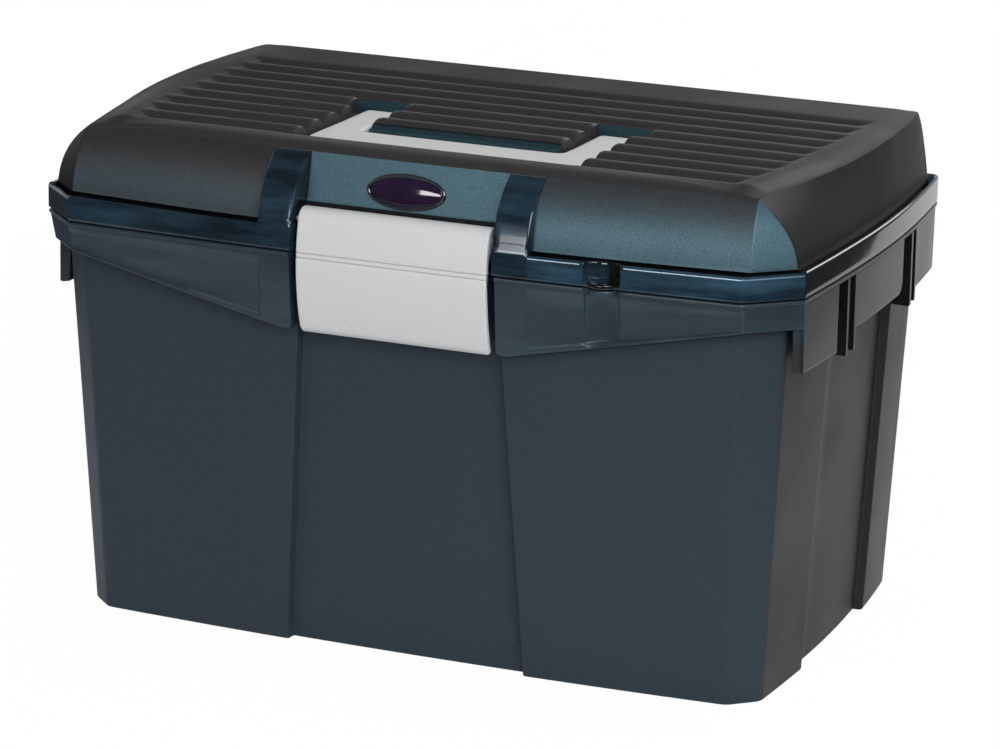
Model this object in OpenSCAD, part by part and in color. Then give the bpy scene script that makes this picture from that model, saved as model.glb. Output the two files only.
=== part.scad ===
// Grooming box: a moulded tub with a hinged ribbed lid, a front latch,
// a flush carrying handle and a lift-out tray.
// The front faces -Y and the box stands on the plane z = 0.

/* [Box] */
// Length over the rim
box_len = 400; // [380:1:420]
// Depth of the rim, from the middle of its front to its back
rim_depth = 252; // [242:1:262]
// Height to the top of the lid
box_h = 250; // [246:1:256]
// Height of the lid above the joint with the tub
lid_rise = 48; // [45:1:52]
// How far the front bows out between its corners
front_bow = 6; // [3:0.5:8]
// How far the ends bow out in front of their widest part, if that ran as far as the back
end_bow_front = 6; // [4:0.5:8]
// How far the ends bow out behind their widest part
end_bow = 11; // [6:0.5:13]
// Distance of the widest part of the ends behind the middle
end_apex_y = -15; // [-25:1:0]
// Length cut from each front corner, along the front
corner_cut = 25; // [20:1:30]
// Angle between the corner facets and the front
facet_angle = 43.5; // [41:0.5:46]
// Size of the small bevel on the back corners
back_bevel = 3; // [2:0.5:4]

/* [Tub] */
// Wall thickness of the tub
tub_wall = 2.6; // [2:0.1:3.2]
// Thickness of the tub's floor
tub_floor = 3; // [2.5:0.1:4]
// Distance of the tub's front behind the rim, at the top
front_set_top = 8.6; // [7.5:0.1:9.5]
// Distance of the tub's front behind the rim, at the bottom
front_set_low = 21.5; // [19:0.5:24]
// Distance of the tub's ends inside the rim, at the top
end_set_top = 9; // [8:0.1:10]
// Distance of the tub's ends inside the rim, at the bottom
end_set_low = 19.5; // [17:0.5:22]
// Distance of the tub's back inside the rim, at the top
back_set_top = 5; // [4.5:0.1:6]
// Distance of the tub's back inside the rim, at the bottom
back_set_low = 8; // [7:0.5:10]
// Depth of the panel sunk in the front
front_panel_sink = 5.6; // [4:0.2:6.5]
// Half-width of the sunk front panel, at the bottom
front_panel_low = 63; // [58:1:70]
// Half-width of the sunk front panel, under the belt
front_panel_top = 53; // [51.5:0.5:56]
// Depth of the panels sunk in the ends
end_panel_sink = 4.5; // [3:0.1:5]
// Front edge of the sunk end panels
end_panel_front = -34; // [-45:1:-25]
// Back edge of the sunk end panels
end_panel_back = 67; // [55:1:75]

/* [Belt] */
// Thickness of the belt that hangs from the tub's rim
belt_wall = 2.8; // [2.2:0.1:3.2]
// Thickness of the rim flange on top of the belt
flange_t = 3; // [2.5:0.1:4]
// How far the belt's face leans in at its lowest point
belt_lean = 4.6; // [3:0.1:5]
// Depth of the belt beside the latch
belt_drop_mid = 40; // [36:1:44]
// Depth of the belt at the front corners
belt_drop_corner = 14; // [10:1:18]
// Half-width of the gap in the belt behind the latch
belt_gap_half = 53.4; // [52:0.2:56]
// Depth of the front block of the belt on the ends
end_block_drop = 36; // [30:1:38]
// Depth of the middle plate of the belt on the ends
end_plate_drop = 29; // [24:1:32]
// Depth of the upright ribs beside the plates
end_rib_drop = 38; // [34:1:40]
// Width of each upright rib
end_rib_w = 6; // [4:0.5:7]
// Width of the slots beside the ribs
end_slot_w = 5; // [4:0.5:7]
// Back edge of the front block
end_block_back = -55; // [-60:1:-50]
// Back edge of the middle plate
end_plate_back = 41; // [36:1:46]

/* [Lid] */
// Wall thickness of the lid
lid_wall = 3; // [2.5:0.1:3.5]
// Height of the rim band
rim_h = 13; // [11:0.5:15]
// Thickness of the lip that edges the gutter
lip_t = 3; // [2.5:0.1:3.5]
// Depth of the gutter behind the lip
gutter_drop = 7; // [5:0.5:8]
// Distance of the panels behind the front of the rim
panel_set = 6.6; // [6:0.1:7.5]
// Depth of the rounded front of the lid
front_round = 31.5; // [28:0.5:34]
// How square the rounded front is: 1 is a plain quarter oval, less is squarer
square_share = 0.7; // [0.6:0.05:1]
// Depth of the rounded corner facets
facet_round = 26; // [24:0.5:27.5]
// How far the corner facets sit behind the rim, at their foot
facet_set = 3.8; // [3.4:0.2:4.4]
// Distance of the lid's ends inside the rim, at their foot
lid_end_set = 3.6; // [3.2:0.1:5]
// How far the ends lean in
lid_end_lean = 7.5; // [5:0.5:9]
// How much further the ends lean in towards the front corners
lid_pinch = 15; // [10:0.5:17]
// Where the ends start to lean further
pinch_y = 4; // [-10:1:10]
// Distance of the lid's back inside the rim, at its foot
lid_back_set = 4; // [3.2:0.1:5]
// How far the back leans in
lid_back_lean = 14; // [10:0.5:17]
// How far the straps stand out from the panels, at the rim
strap_proud = 5; // [4:0.2:5.4]
// Inner edge of the straps
strap_in = 52.3; // [51.5:0.1:53.2]
// Width of each strap
strap_w = 17.5; // [15:0.5:20]
// Height of the top edge of the flat centre panel above the joint
centre_rise = 45; // [44:0.5:46]
// Distance of that edge behind the front of the rim
centre_set = 22.4; // [21.6:0.2:23.4]
// Lean of the flat centre panel
centre_tilt = 12.3; // [8:0.1:14]
// Thickness of the lid's top
top_t = 8; // [7:0.5:10]

/* [Ribbed top] */
// Number of grooves
groove_count = 9; // [7:1:9]
// Distance between grooves
groove_pitch = 18.2; // [16:0.2:18.6]
// Depth of the grooves
groove_depth = 4.2; // [3:0.1:4.6]
// Middle of the frontmost groove
groove_front_y = -77; // [-78:0.5:-74]
// Half-length of the middle groove
groove_half = 169; // [160:1:172]
// How much shorter the frontmost groove is at each end
groove_taper = 8; // [4:0.5:12]
// Length of the sloping run-out at the groove ends
groove_runout = 8; // [5:0.5:10]

/* [Handle] */
// Half-width of the handle
handle_half = 72; // [68:0.5:76]
// Width of the handle's arms
handle_arm_w = 18.5; // [16:0.5:20]
// Depth of the handle's front bar
handle_bar_d = 27; // [24:0.5:29]
// Distance from the pivot to the front edge of the bar
handle_reach = 71.5; // [68:0.5:74]
// Thickness of the handle
handle_t = 9.6; // [8.5:0.1:10.4]
// Depth of the handle's top below the lid's top
handle_drop = 4.4; // [4:0.1:5]
// Place of the handle's pivot, front to back
handle_pivot_y = -0.5; // [-3:0.5:2]
// Radius of the handle's pins
handle_pin_r = 2.5; // [2:0.1:3]
// Clearance round the handle in its recess
handle_gap = 2.8; // [2:0.1:3.5]
// Room for fingertips in front of the handle
finger_gap = 11.5; // [8:0.5:12]

/* [Latch] */
// Half-width of the latch
latch_half = 49.4; // [47:0.1:49.8]
// Radius of the rolled top of the latch
latch_roll_r = 6.5; // [6:0.1:7]
// Height of the latch's pivot above the joint
latch_rise = 15; // [14:0.5:16]
// Distance of the latch's pivot behind the front of the rim
latch_set = 9.5; // [9:0.1:10.5]
// Length of the flap below the pivot
latch_drop = 55; // [50:0.5:58]
// Thickness of the flap
latch_t = 3.4; // [2.8:0.1:3.8]
// Radius of the stub pins
latch_pin_r = 2; // [1.6:0.1:2.4]
// Length of the stub pins
latch_pin_len = 12; // [10:0.5:13]

/* [Hinge] */
// Radius of the hinge knuckles
knuckle_r = 4.6; // [4.2:0.1:5]
// Length of one knuckle
knuckle_len = 20; // [16:0.5:24]
// Distance of the middle of each hinge from the end of the box
hinge_end = 90; // [80:1:100]
// Radius of the hinge pins
hinge_pin_r = 2; // [1.6:0.1:2.4]

/* [Padlock eye] */
// Distance of the eye from the middle
eye_x = 106.7; // [100:0.5:115]
// Radius of the scoop in the rim
scoop_r = 8.8; // [8:0.1:9.4]
// Radius of the eye's hole
eye_r = 3.2; // [2.8:0.1:3.5]
// Distance of the hole behind the front of the rim
eye_set = 4.4; // [4:0.1:4.8]
// Width of the ring round the hole
eye_ring = 4.6; // [4:0.1:5]
// Lean of the channel under the eye, which runs out towards the foot of the belt
channel_tilt = 8; // [6:0.5:10]

/* [Badge] */
// Half-width of the oval badge
badge_a = 20.5; // [18:0.5:24]
// Half-height of the oval badge
badge_b = 8.8; // [7:0.2:9.4]
// Width of the bezel round the badge
bezel_w = 1.8; // [1.4:0.1:2.4]
// Height of the bezel above the panel
bezel_h = 1.2; // [0.8:0.1:1.6]
// Height of the middle of the badge above the joint
badge_rise = 31; // [30.5:0.5:34]

/* [Tray] */
// Gap between the tray's rim and the sunk end panels, at their back edge
tray_end_gap = 7.9; // [6:0.1:16]
// Gap between the tray's rim and the tub's front
tray_front_gap = 12.8; // [11:0.1:20]
// Gap between the tray's rim and the tub's back
tray_back_gap = 14.3; // [11:0.1:20]
// Height of the tray
tray_h = 48; // [36:1:52]
// Wall of the tray
tray_wall = 2.2; // [1.8:0.1:3]
// How far the tray narrows towards its floor, on each side
tray_draft = 4; // [2:0.5:6]
// Distance of the tray's rim below the joint
tray_sink = 6; // [4:0.5:12]
// Thickness of the spine with the tray's grip
spine_t = 6; // [5:0.5:9]
// Height of the grip above the tray's rim
grip_rise = 14; // [10:0.5:16]
// Half-length of the raised grip
grip_half = 60; // [52:1:70]

/* [Hidden] */
$fn = 48;

// Colours
tub_blue = "#33414b";
lid_blue = "#2f4a55";
light_grey = "#c5c7c6";
steel_grey = "#9a9da0";
badge_black = "#1c1626";
tray_grey = "#8e9396";

// Overrun of every cut past the face that it opens
over = 1;
// Gap between pieces that move past each other
gap = 0.4;
// Clearance of a pin in its hole, on the radius
pin_gap = 0.05;
// Steps along the front, the ends and the rounded rows of a plan
front_steps = 6;
end_steps = 6;
dome_steps = 8;
arc_steps = 6;
oval_steps = 40;

// Places that follow from the sizes above
half_len = box_len / 2;
half_depth = rim_depth / 2;
split_z = box_h - lid_rise;
hinge_x = half_len - hinge_end;
front_line = -half_depth;
crease_x = half_len - corner_cut;
lid_low = split_z + gap;
rim_top = split_z + rim_h;
// The rounded front of the lid starts level with the middle of the rim band
dome_low_share = 0.4;
dome_low = split_z + rim_h * dome_low_share;
dome_h = box_h - dome_low;
ceiling_z = box_h - top_t;
// Deepest point of the belt, where its lean is measured
belt_low = split_z - belt_drop_mid;

// Plan outlines
function front_y(x, inset) = front_line + inset + front_bow * pow(x / crease_x, 2);
function end_x(y, inset, pinch = 0) =
    half_len - inset
    - (y < end_apex_y ? end_bow_front : end_bow) * pow((y - end_apex_y) / (half_depth - end_apex_y), 2)
    - pinch * max(0, pinch_y - y) / (pinch_y + half_depth);
facet_reach = crease_x * sin(facet_angle) - front_y(crease_x, 0) * cos(facet_angle);
function facet_x(y, inset) = (facet_reach - inset + y * cos(facet_angle)) / sin(facet_angle);
function facet_y(x, inset) = (x * sin(facet_angle) - facet_reach + inset) / cos(facet_angle);
// The crease is found by going back and forth between the two curves that meet there
function front_crease(front, facet, turns = 5) =
    turns == 0 ? crease_x : facet_x(front_y(front_crease(front, facet, turns - 1), front), facet);
function end_crease(facet, end, pinch = 0, turns = 9) =
    turns == 0
        ? -half_depth + corner_cut
        : facet_y(end_x(end_crease(facet, end, pinch, turns - 1), end, pinch), facet);

function right_half(front, facet, end, back, pinch) =
    let (
        x1 = front_crease(front, facet),
        y1 = end_crease(facet, end, pinch),
        y2 = half_depth - back - back_bevel
    )
    concat(
        [for (i = [0 : front_steps]) let (x = x1 * i / front_steps) [x, front_y(x, front)]],
        [for (i = [0 : end_steps]) let (y = y1 + (y2 - y1) * i / end_steps) [end_x(y, end, pinch), y]],
        [[end_x(y2, end) - back_bevel, half_depth - back]]
    );
function left_of(half) = [for (i = [len(half) - 1 : -1 : 1]) [-half[i][0], half[i][1]]];
// A whole plan, set in from the rim by its own distance at the front, facets, ends and back;
// pinch draws the ends further in towards the front corners
function plan(front, facet, end, back, pinch = 0) =
    let (half = right_half(front, facet, end, back, pinch)) concat(half, left_of(half));
function even_plan(inset) = plan(inset, inset, inset, inset);
function level(points, z) = [for (p = points) [p[0], p[1], z]];

// Solid through a stack of level outlines with equal numbers of points
module loft(rows) {
    n = len(rows[0]);
    last = len(rows) - 1;
    sides = [
        for (r = [0 : last - 1], i = [0 : n - 1])
        let (a = r * n + i, b = r * n + (i + 1) % n)
        each [[a, a + n, b + n], [a, b + n, b]]
    ];
    floor_face = [for (i = [0 : n - 1]) i];
    roof_face = [for (i = [n - 1 : -1 : 0]) last * n + i];
    polyhedron([for (row = rows) each row], concat(sides, [floor_face, roof_face]));
}

function rect(x0, x1, y0, y1) = [[x0, y0], [x1, y0], [x1, y1], [x0, y1]];

module block(x0, x1, y0, y1, z0, z1) {
    translate([x0, y0, z0])
        cube([x1 - x0, y1 - y0, z1 - z0]);
}

// Outline in the YZ plane, drawn out along X between two places
module along_x(points, x0, x1) {
    translate([x0, 0, 0])
        rotate([90, 0, 90])
            linear_extrude(x1 - x0)
                polygon(points);
}

// Outline in the XZ plane, drawn out along Y between two places
module along_y(points, y0, y1) {
    translate([0, y1, 0])
        rotate([90, 0, 0])
            linear_extrude(y1 - y0)
                polygon(points);
}

// Round bar along X
module bar_x(r, x0, x1, y, z) {
    translate([x0, y, z])
        rotate([0, 90, 0])
            cylinder(r = r, h = x1 - x0);
}

module both_sides() {
    children();
    mirror([1, 0, 0])
        children();
}

// Tub

// Set-in of the walls at a height, worked out from the bottom and top values
function between(low, top, z) = low + (top - low) * z / split_z;
function front_set(z) = between(front_set_low, front_set_top, z);
function end_set(z) = between(end_set_low, end_set_top, z);
function back_set(z) = between(back_set_low, back_set_top, z);
function tub_plan(z, wall) =
    plan(front_set(z) + wall, front_set(z) + wall, end_set(z) + wall, back_set(z) + wall);

module tub_form(wall, z0, z1) {
    loft([level(tub_plan(z0, wall), z0), level(tub_plan(z1, wall), z1)]);
}

// Half-width of the sunk front panel at a height
function front_panel_half(z) = front_panel_low + (front_panel_top - front_panel_low) * z / belt_low;

// Space in front of the sunk front panel
module front_sink(wall, z0, z1) {
    rows = [
        for (z = [z0, z1])
        let (half = front_panel_half(z) + wall, y = front_y(0, front_set(z)) + front_panel_sink + wall)
        level(rect(-half, half, front_line - over, y), z)
    ];
    loft(rows);
}

// Space outside one sunk end panel; its surface follows the bowed end
module end_sink(wall, z0, z1) {
    y0 = end_panel_front - wall;
    y1 = end_panel_back + wall;
    rows = [
        for (z = [z0, z1])
        let (inset = end_set(z) + end_panel_sink + wall)
        level(
            concat(
                [for (i = [0 : end_steps]) let (y = y1 + (y0 - y1) * i / end_steps) [end_x(y, inset), y]],
                [[half_len + over, y0], [half_len + over, y1]]
            ),
            z
        )
    ];
    loft(rows);
}

module tub_walls() {
    flange_low = split_z - flange_t;
    difference() {
        tub_form(0, 0, flange_low);
        front_sink(0, -over, split_z + over);
        both_sides()
            end_sink(0, -over, split_z + over);
        difference() {
            tub_form(tub_wall, tub_floor, split_z + over);
            front_sink(tub_wall, 0, split_z + over + over);
            both_sides()
                end_sink(tub_wall, 0, split_z + over + over);
        }
    }
}

// Rim flange: flat ring from the belt's face to the inside of the tub
module tub_flange() {
    inner = tub_plan(split_z, tub_wall);
    latch_room = latch_set - latch_roll_r + latch_t + latch_t;
    difference() {
        union() {
            translate([0, 0, split_z - flange_t])
                linear_extrude(flange_t)
                    polygon(even_plan(gap));
            eye_ring_plate(split_z - flange_t);
        }
        difference() {
            translate([0, 0, split_z - flange_t - over])
                linear_extrude(flange_t + over + over)
                    polygon(inner);
            front_sink(tub_wall, 0, split_z + over + over);
            both_sides()
                end_sink(tub_wall, 0, split_z + over + over);
        }
        block(
            -belt_gap_half, belt_gap_half, front_line - over, front_line + latch_room,
            split_z - flange_t - over, split_z + over
        );
        eye_hole(split_z - flange_t);
    }
}

// Padlock eye: one ring on the tub and one on the lid, with a hole through both
eye_y = front_y(eye_x, eye_set);
scoop_y = front_y(eye_x, 0);

module eye_ring_plate(z) {
    translate([eye_x, eye_y, z])
        cylinder(r = eye_r + eye_ring, h = flange_t);
}

module eye_hole(z) {
    translate([eye_x, eye_y, z - over])
        cylinder(r = eye_r, h = flange_t + over + over);
}

module belt_skin(inset) {
    loft([
        level(even_plan(gap + belt_lean + inset), belt_low),
        level(even_plan(gap + inset), split_z - flange_t)
    ]);
}

// Lower edge of the belt along the front, and how far back it runs round the corner facet
belt_front_back = end_crease(0, 0);

module belt_front_extent() {
    slope = [
        [belt_gap_half, belt_low], [crease_x, split_z - belt_drop_corner],
        [half_len + over, split_z - belt_drop_corner], [half_len + over, split_z], [belt_gap_half, split_z]
    ];
    along_y(slope, front_line - over, belt_front_back);
}

// Upright stretches of the belt on one end: front and back edge, and depth
end_rib_front = end_block_back + end_slot_w;
end_plate_front = end_rib_front + end_rib_w + end_slot_w + end_rib_w;
end_rib_back = end_plate_back + end_slot_w;
end_rear_front = end_rib_back + end_rib_w + end_slot_w;
end_stretches = [
    [belt_front_back, end_block_back, end_block_drop],
    [end_rib_front, end_rib_front + end_rib_w, end_rib_drop],
    [end_plate_front - end_rib_w, end_plate_front, end_rib_drop],
    [end_plate_front, end_plate_back, end_plate_drop],
    [end_rib_back, end_rib_back + end_rib_w, end_rib_drop],
    [end_rear_front, half_depth + over, end_plate_drop]
];

// Inner limit of the blocks that pick out the ends of the belt
end_zone_x = crease_x - corner_cut;

module belt_end_extent() {
    for (s = end_stretches)
        block(end_zone_x, half_len + over, s[0], s[1], split_z - s[2], split_z);
}

module belt_back_extent() {
    block(
        -half_len, half_len, half_depth - gap - belt_lean - belt_wall - over, half_depth + over,
        split_z - end_plate_drop, split_z
    );
}

// Half-round channel in the belt, under the padlock eye
module eye_channel(wall) {
    translate([eye_x, scoop_y, split_z])
        rotate([180 - channel_tilt, 0, 0])
            cylinder(r = scoop_r + wall, h = belt_drop_mid);
}

module belt() {
    intersection() {
        difference() {
            union() {
                difference() {
                    belt_skin(0);
                    belt_skin(belt_wall);
                }
                intersection() {
                    belt_skin(0);
                    eye_channel(tub_wall / 2);
                }
            }
            eye_channel(0);
        }
        union() {
            both_sides() {
                belt_front_extent();
                belt_end_extent();
            }
            belt_back_extent();
        }
    }
}

// Ties that join the belt to the wall behind it, at the latch gap and at the slots on the ends
module belt_ties() {
    intersection() {
        difference() {
            belt_skin(0);
            tub_form(tub_wall / 2, 0, split_z);
        }
        both_sides() {
            block(
                belt_gap_half, belt_gap_half + belt_wall,
                front_line, front_line + front_set(belt_low) + tub_wall, belt_low, split_z
            );
            for (y = [end_block_back - belt_wall, end_plate_back - belt_wall, end_rear_front])
                block(end_zone_x, half_len, y, y + belt_wall, split_z - end_plate_drop, split_z);
        }
    }
}

// Ledge that the latch's ridge sits under
catch_half = 36;
catch_t = 5;
catch_drop = 24;
catch_reach = 7;

function sunk_front(z) = front_y(0, front_set(z)) + front_panel_sink;

module latch_catch() {
    z1 = split_z - catch_drop;
    wall_y = sunk_front(z1);
    block(-catch_half, catch_half, wall_y - catch_reach, wall_y + tub_wall / 2, z1 - catch_t, z1);
}

// Ledges inside the ends, under the tray
ledge_t = 6;
ledge_bearing = 9;
ledge_margin = 6;
tray_top = split_z - tray_sink;
tray_low = tray_top - tray_h;
// The tray stands this far clear of its ledges, so that the two never bind
tray_seat_gap = 0.1;
tray_half = end_x(end_panel_back, end_set(tray_top) + end_panel_sink + tub_wall) - tray_end_gap;
tray_front = sunk_front(tray_top) + tub_wall + tray_front_gap;
tray_back = half_depth - back_set(tray_top) - tub_wall - tray_back_gap;
tray_y = (tray_front + tray_back) / 2;
tray_low_half = tray_half - tray_draft;

module tray_ledge() {
    intersection() {
        tub_form(tub_wall / 2, tub_floor, split_z);
        difference() {
            block(
                tray_low_half - ledge_bearing, half_len, end_panel_front + ledge_margin,
                end_panel_back - ledge_margin, tray_low - ledge_t, tray_low - tray_seat_gap
            );
            end_sink(tub_wall / 2, 0, split_z);
        }
    }
}

// Hinge axis, behind the back of the rim
hinge_y = half_depth + knuckle_r + gap;
hinge_z = split_z;
knuckle_count = 3;
hinge_half = knuckle_len * knuckle_count / 2;

// One knuckle with its web; the web reaches forward into the moulding that carries it
module knuckle(x0, x1, web_low, web_top, web_front) {
    difference() {
        union() {
            bar_x(knuckle_r, x0, x1, hinge_y, hinge_z);
            block(x0, x1, web_front, hinge_y, web_low, web_top);
        }
        bar_x(hinge_pin_r + pin_gap, x0 - over, x1 + over, hinge_y, hinge_z);
    }
}

tub_web_front = half_depth - back_set_top;

module tub_knuckles() {
    for (side = [-1, 1], end = [-1, 1]) {
        centre = side * hinge_x + end * knuckle_len;
        knuckle(
            centre - knuckle_len / 2 + gap / 2, centre + knuckle_len / 2 - gap / 2,
            split_z - knuckle_r, split_z - gap, tub_web_front
        );
    }
}

module base_tub() {
    color(tub_blue) {
        tub_walls();
        tub_flange();
        belt();
        belt_ties();
        latch_catch();
        both_sides()
            tray_ledge();
        tub_knuckles();
    }
}

// Lid

// Set-in of one level of the lid; turn runs from 0 at the rim band to 90 degrees at the top
panel_back = panel_set + front_round;
facet_back = facet_set + facet_round;
function bulge(turn) = pow(cos(turn), square_share);
function lid_plan(turn, wall, proud) =
    plan(
        panel_back - (front_round + proud) * bulge(turn) + wall,
        facet_back - facet_round * bulge(turn) + wall,
        lid_end_set + lid_end_lean * sin(turn) + wall,
        lid_back_set + lid_back_lean * sin(turn) + wall,
        lid_pinch * pow(sin(turn), 2)
    );

module lid_form(wall, low, top, proud) {
    rows = concat(
        [level(lid_plan(0, wall, proud), low)],
        [
            for (i = [0 : dome_steps])
            let (turn = 90 * i / dome_steps)
            level(lid_plan(turn, wall, proud), dome_low + (top - dome_low) * sin(turn))
        ]
    );
    loft(rows);
}

module lid_rim() {
    translate([0, 0, lid_low])
        linear_extrude(rim_top - lid_low)
            difference() {
                polygon(even_plan(0));
                polygon(even_plan(lip_t));
            }
    translate([0, 0, lid_low])
        linear_extrude(rim_top - gutter_drop - lid_low)
            difference() {
                polygon(even_plan(0));
                polygon(lid_plan(0, lid_wall, 0));
            }
}

module lid_straps() {
    intersection() {
        lid_form(0, lid_low, box_h, strap_proud);
        both_sides()
            block(strap_in, strap_in + strap_w, front_line, front_line + panel_back, lid_low, box_h);
    }
}

// Flat centre panel between the straps
function centre_y(z) = front_line + centre_set - (split_z + centre_rise - z) * tan(centre_tilt);

// Space in front of the centre panel, or of a face that lies a wall behind it
module centre_front(wall, z0) {
    half = strap_in + wall;
    points = [
        [front_line - over, z0], [centre_y(z0) + wall, z0], [centre_y(box_h) + wall, box_h],
        [front_line - over, box_h]
    ];
    along_x(points, -half, half);
}

// Latch pocket
latch_y = front_line + latch_set;
latch_z = split_z + latch_rise;
pocket_half = latch_half + gap + gap;
pocket_back = latch_y + latch_roll_r + gap;
pocket_top = latch_z + latch_roll_r + gap;
// Block of solid wall left round the pocket and its pins
housing_half = latch_half + latch_pin_len / 2 + lid_wall;

module latch_housing() {
    block(
        -housing_half, housing_half, front_line - over, pocket_back + lid_wall,
        split_z - over, pocket_top + lid_wall
    );
}

module latch_pocket() {
    block(-pocket_half, pocket_half, front_line - over, pocket_back, split_z - over, pocket_top);
    both_sides()
        bar_x(latch_pin_r + pin_gap, 0, latch_half + latch_pin_len / 2 + gap, latch_y, latch_z);
}

// Handle recess
handle_top = box_h - handle_drop;
handle_low = handle_top - handle_t;
handle_axis_z = handle_low + handle_t / 2;
recess_floor = handle_low - gap - gap;
recess_half = handle_half + handle_gap;
recess_front = handle_pivot_y - handle_reach - finger_gap;
recess_back = handle_pivot_y + handle_t / 2 + handle_gap;
island_half = handle_half - handle_arm_w - handle_gap;
island_front = handle_pivot_y - handle_reach + handle_bar_d + handle_gap;
// Pins seat this far into the walls on both sides of an arm
pin_seat = 4.5;
pivot_pocket = 5;
handle_pin_in = island_half - pin_seat;
handle_pin_out = recess_half + pivot_pocket + pin_seat;

// Block of solid lid left under the recess
module recess_pan() {
    block(
        -handle_pin_out - lid_wall, handle_pin_out + lid_wall, recess_front - lid_wall,
        recess_back + lid_wall, recess_floor - lid_wall, box_h
    );
}

module handle_recess() {
    difference() {
        block(-recess_half, recess_half, recess_front, recess_back, recess_floor, box_h + over);
        block(-island_half, island_half, island_front, recess_back + over, 0, box_h + over);
    }
    both_sides() {
        block(
            island_half, recess_half + pivot_pocket, handle_pivot_y - handle_t, recess_back,
            recess_floor, box_h + over
        );
        bar_x(
            handle_pin_r + pin_gap, handle_pin_in - gap, handle_pin_out + gap, handle_pivot_y, handle_axis_z
        );
    }
}

// Grooves between round-topped ribs, each with a sloping run-out at both ends
rib_r = (pow(groove_pitch / 2, 2) + pow(groove_depth, 2)) / (2 * groove_depth);
rib_turn = asin(groove_pitch / 2 / rib_r);
function rib_point(centre, turn) = [centre + rib_r * sin(turn), box_h - rib_r + rib_r * cos(turn)];

module groove_profile(y) {
    back_rib = y + groove_pitch / 2;
    front_rib = y - groove_pitch / 2;
    points = concat(
        [for (i = [0 : arc_steps]) rib_point(front_rib, rib_turn * i / arc_steps)],
        [for (i = [arc_steps - 1 : -1 : 0]) rib_point(back_rib, -rib_turn * i / arc_steps)],
        [[back_rib, box_h + over], [front_rib, box_h + over]]
    );
    along_x(points, -half_len, half_len);
}

function groove_half_at(i) = groove_half - groove_taper * pow(1 - i / (groove_count - 1), 2);

module groove(i) {
    y = groove_front_y + i * groove_pitch;
    half = groove_half_at(i);
    low_half = half - groove_runout;
    z0 = box_h - groove_depth - over;
    // The run-out slopes from the bottom of the groove to the top, and on past both
    steep = groove_runout / groove_depth * over;
    extent = [
        [-low_half + steep, z0], [low_half - steep, z0],
        [half + steep, box_h + over], [-half - steep, box_h + over]
    ];
    intersection() {
        groove_profile(y);
        along_y(extent, y - groove_pitch, y + groove_pitch);
    }
}

module rib_grooves() {
    for (i = [0 : groove_count - 1])
        groove(i);
}

// Scoop in the rim above the padlock eye, with a floor that carries the hole
module eye_scoop() {
    translate([eye_x, scoop_y, lid_low + flange_t])
        cylinder(r = scoop_r, h = rim_h);
    eye_hole(lid_low);
}

module eye_housing() {
    intersection() {
        translate([eye_x, scoop_y, lid_low])
            cylinder(r = scoop_r + lip_t, h = rim_top - lid_low);
        translate([0, 0, lid_low])
            linear_extrude(rim_h)
                polygon(even_plan(0));
    }
    eye_ring_plate(lid_low);
}

module lid_knuckles() {
    for (side = [-1, 1])
        knuckle(
            side * hinge_x - knuckle_len / 2 + gap / 2, side * hinge_x + knuckle_len / 2 - gap / 2,
            lid_low, split_z + knuckle_r, half_depth - lid_back_set
        );
}

module lid_hollow() {
    difference() {
        lid_form(lid_wall, split_z - over, ceiling_z, 0);
        recess_pan();
        latch_housing();
        centre_front(lid_wall, split_z - over);
    }
}

module lid_shell() {
    color(lid_blue)
        union() {
            difference() {
                union() {
                    difference() {
                        union() {
                            lid_form(0, lid_low, box_h, 0);
                            lid_straps();
                        }
                        lid_hollow();
                        rib_grooves();
                    }
                    lid_rim();
                    eye_housing();
                }
                handle_recess();
                latch_pocket();
                centre_front(0, pocket_top - over);
                eye_scoop();
                badge_seat();
            }
            lid_knuckles();
        }
}

// Hinge pins

module hinge_pin(side) {
    color(steel_grey)
        bar_x(hinge_pin_r, side * hinge_x - hinge_half, side * hinge_x + hinge_half, hinge_y, hinge_z);
}

module hinge_pin_left() {
    hinge_pin(-1);
}

module hinge_pin_right() {
    hinge_pin(1);
}

// Handle

// Radius of the handle's outer corners
handle_corner = 7;

module handle_outline() {
    y0 = handle_pivot_y - handle_reach;
    difference() {
        union() {
            translate([-handle_half + handle_corner, y0])
                square([2 * (handle_half - handle_corner), handle_corner]);
            translate([-handle_half, y0 + handle_corner])
                square([2 * handle_half, handle_reach - handle_corner]);
            for (side = [-1, 1])
                translate([side * (handle_half - handle_corner), y0 + handle_corner])
                    circle(r = handle_corner);
        }
        translate([-handle_half + handle_arm_w, y0 + handle_bar_d])
            square([2 * (handle_half - handle_arm_w), handle_reach]);
    }
}

module carry_handle() {
    arm_in = handle_half - handle_arm_w;
    color(light_grey)
        difference() {
            union() {
                translate([0, 0, handle_low])
                    linear_extrude(handle_t)
                        handle_outline();
                both_sides()
                    bar_x(handle_t / 2, arm_in, handle_half, handle_pivot_y, handle_axis_z);
            }
            both_sides()
                bar_x(
                    handle_pin_r + pin_gap, arm_in - over, handle_half + over,
                    handle_pivot_y, handle_axis_z
                );
        }
}

module handle_pin(side) {
    color(steel_grey)
        mirror([side < 0 ? 1 : 0, 0, 0])
            bar_x(handle_pin_r, handle_pin_in, handle_pin_out, handle_pivot_y, handle_axis_z);
}

module handle_pin_left() {
    handle_pin(-1);
}

module handle_pin_right() {
    handle_pin(1);
}

// Latch

// The flap's face runs out from the roll and curves back in to its lower edge
flap_out = 11.5;
flap_in = 15.5;
flap_steps = 10;
function flap_face(share) = [
    latch_y - latch_roll_r - flap_out * share + flap_in * share * share,
    latch_z - latch_drop * share
];
// Line pressed across the flap, just under the joint between tub and lid
line_drop = 2.3;
line_w = 1.2;
line_depth = 0.8;
// Ridge on the back of the flap, under the catch
ridge_t = 4;
ridge_half = 34;

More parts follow.
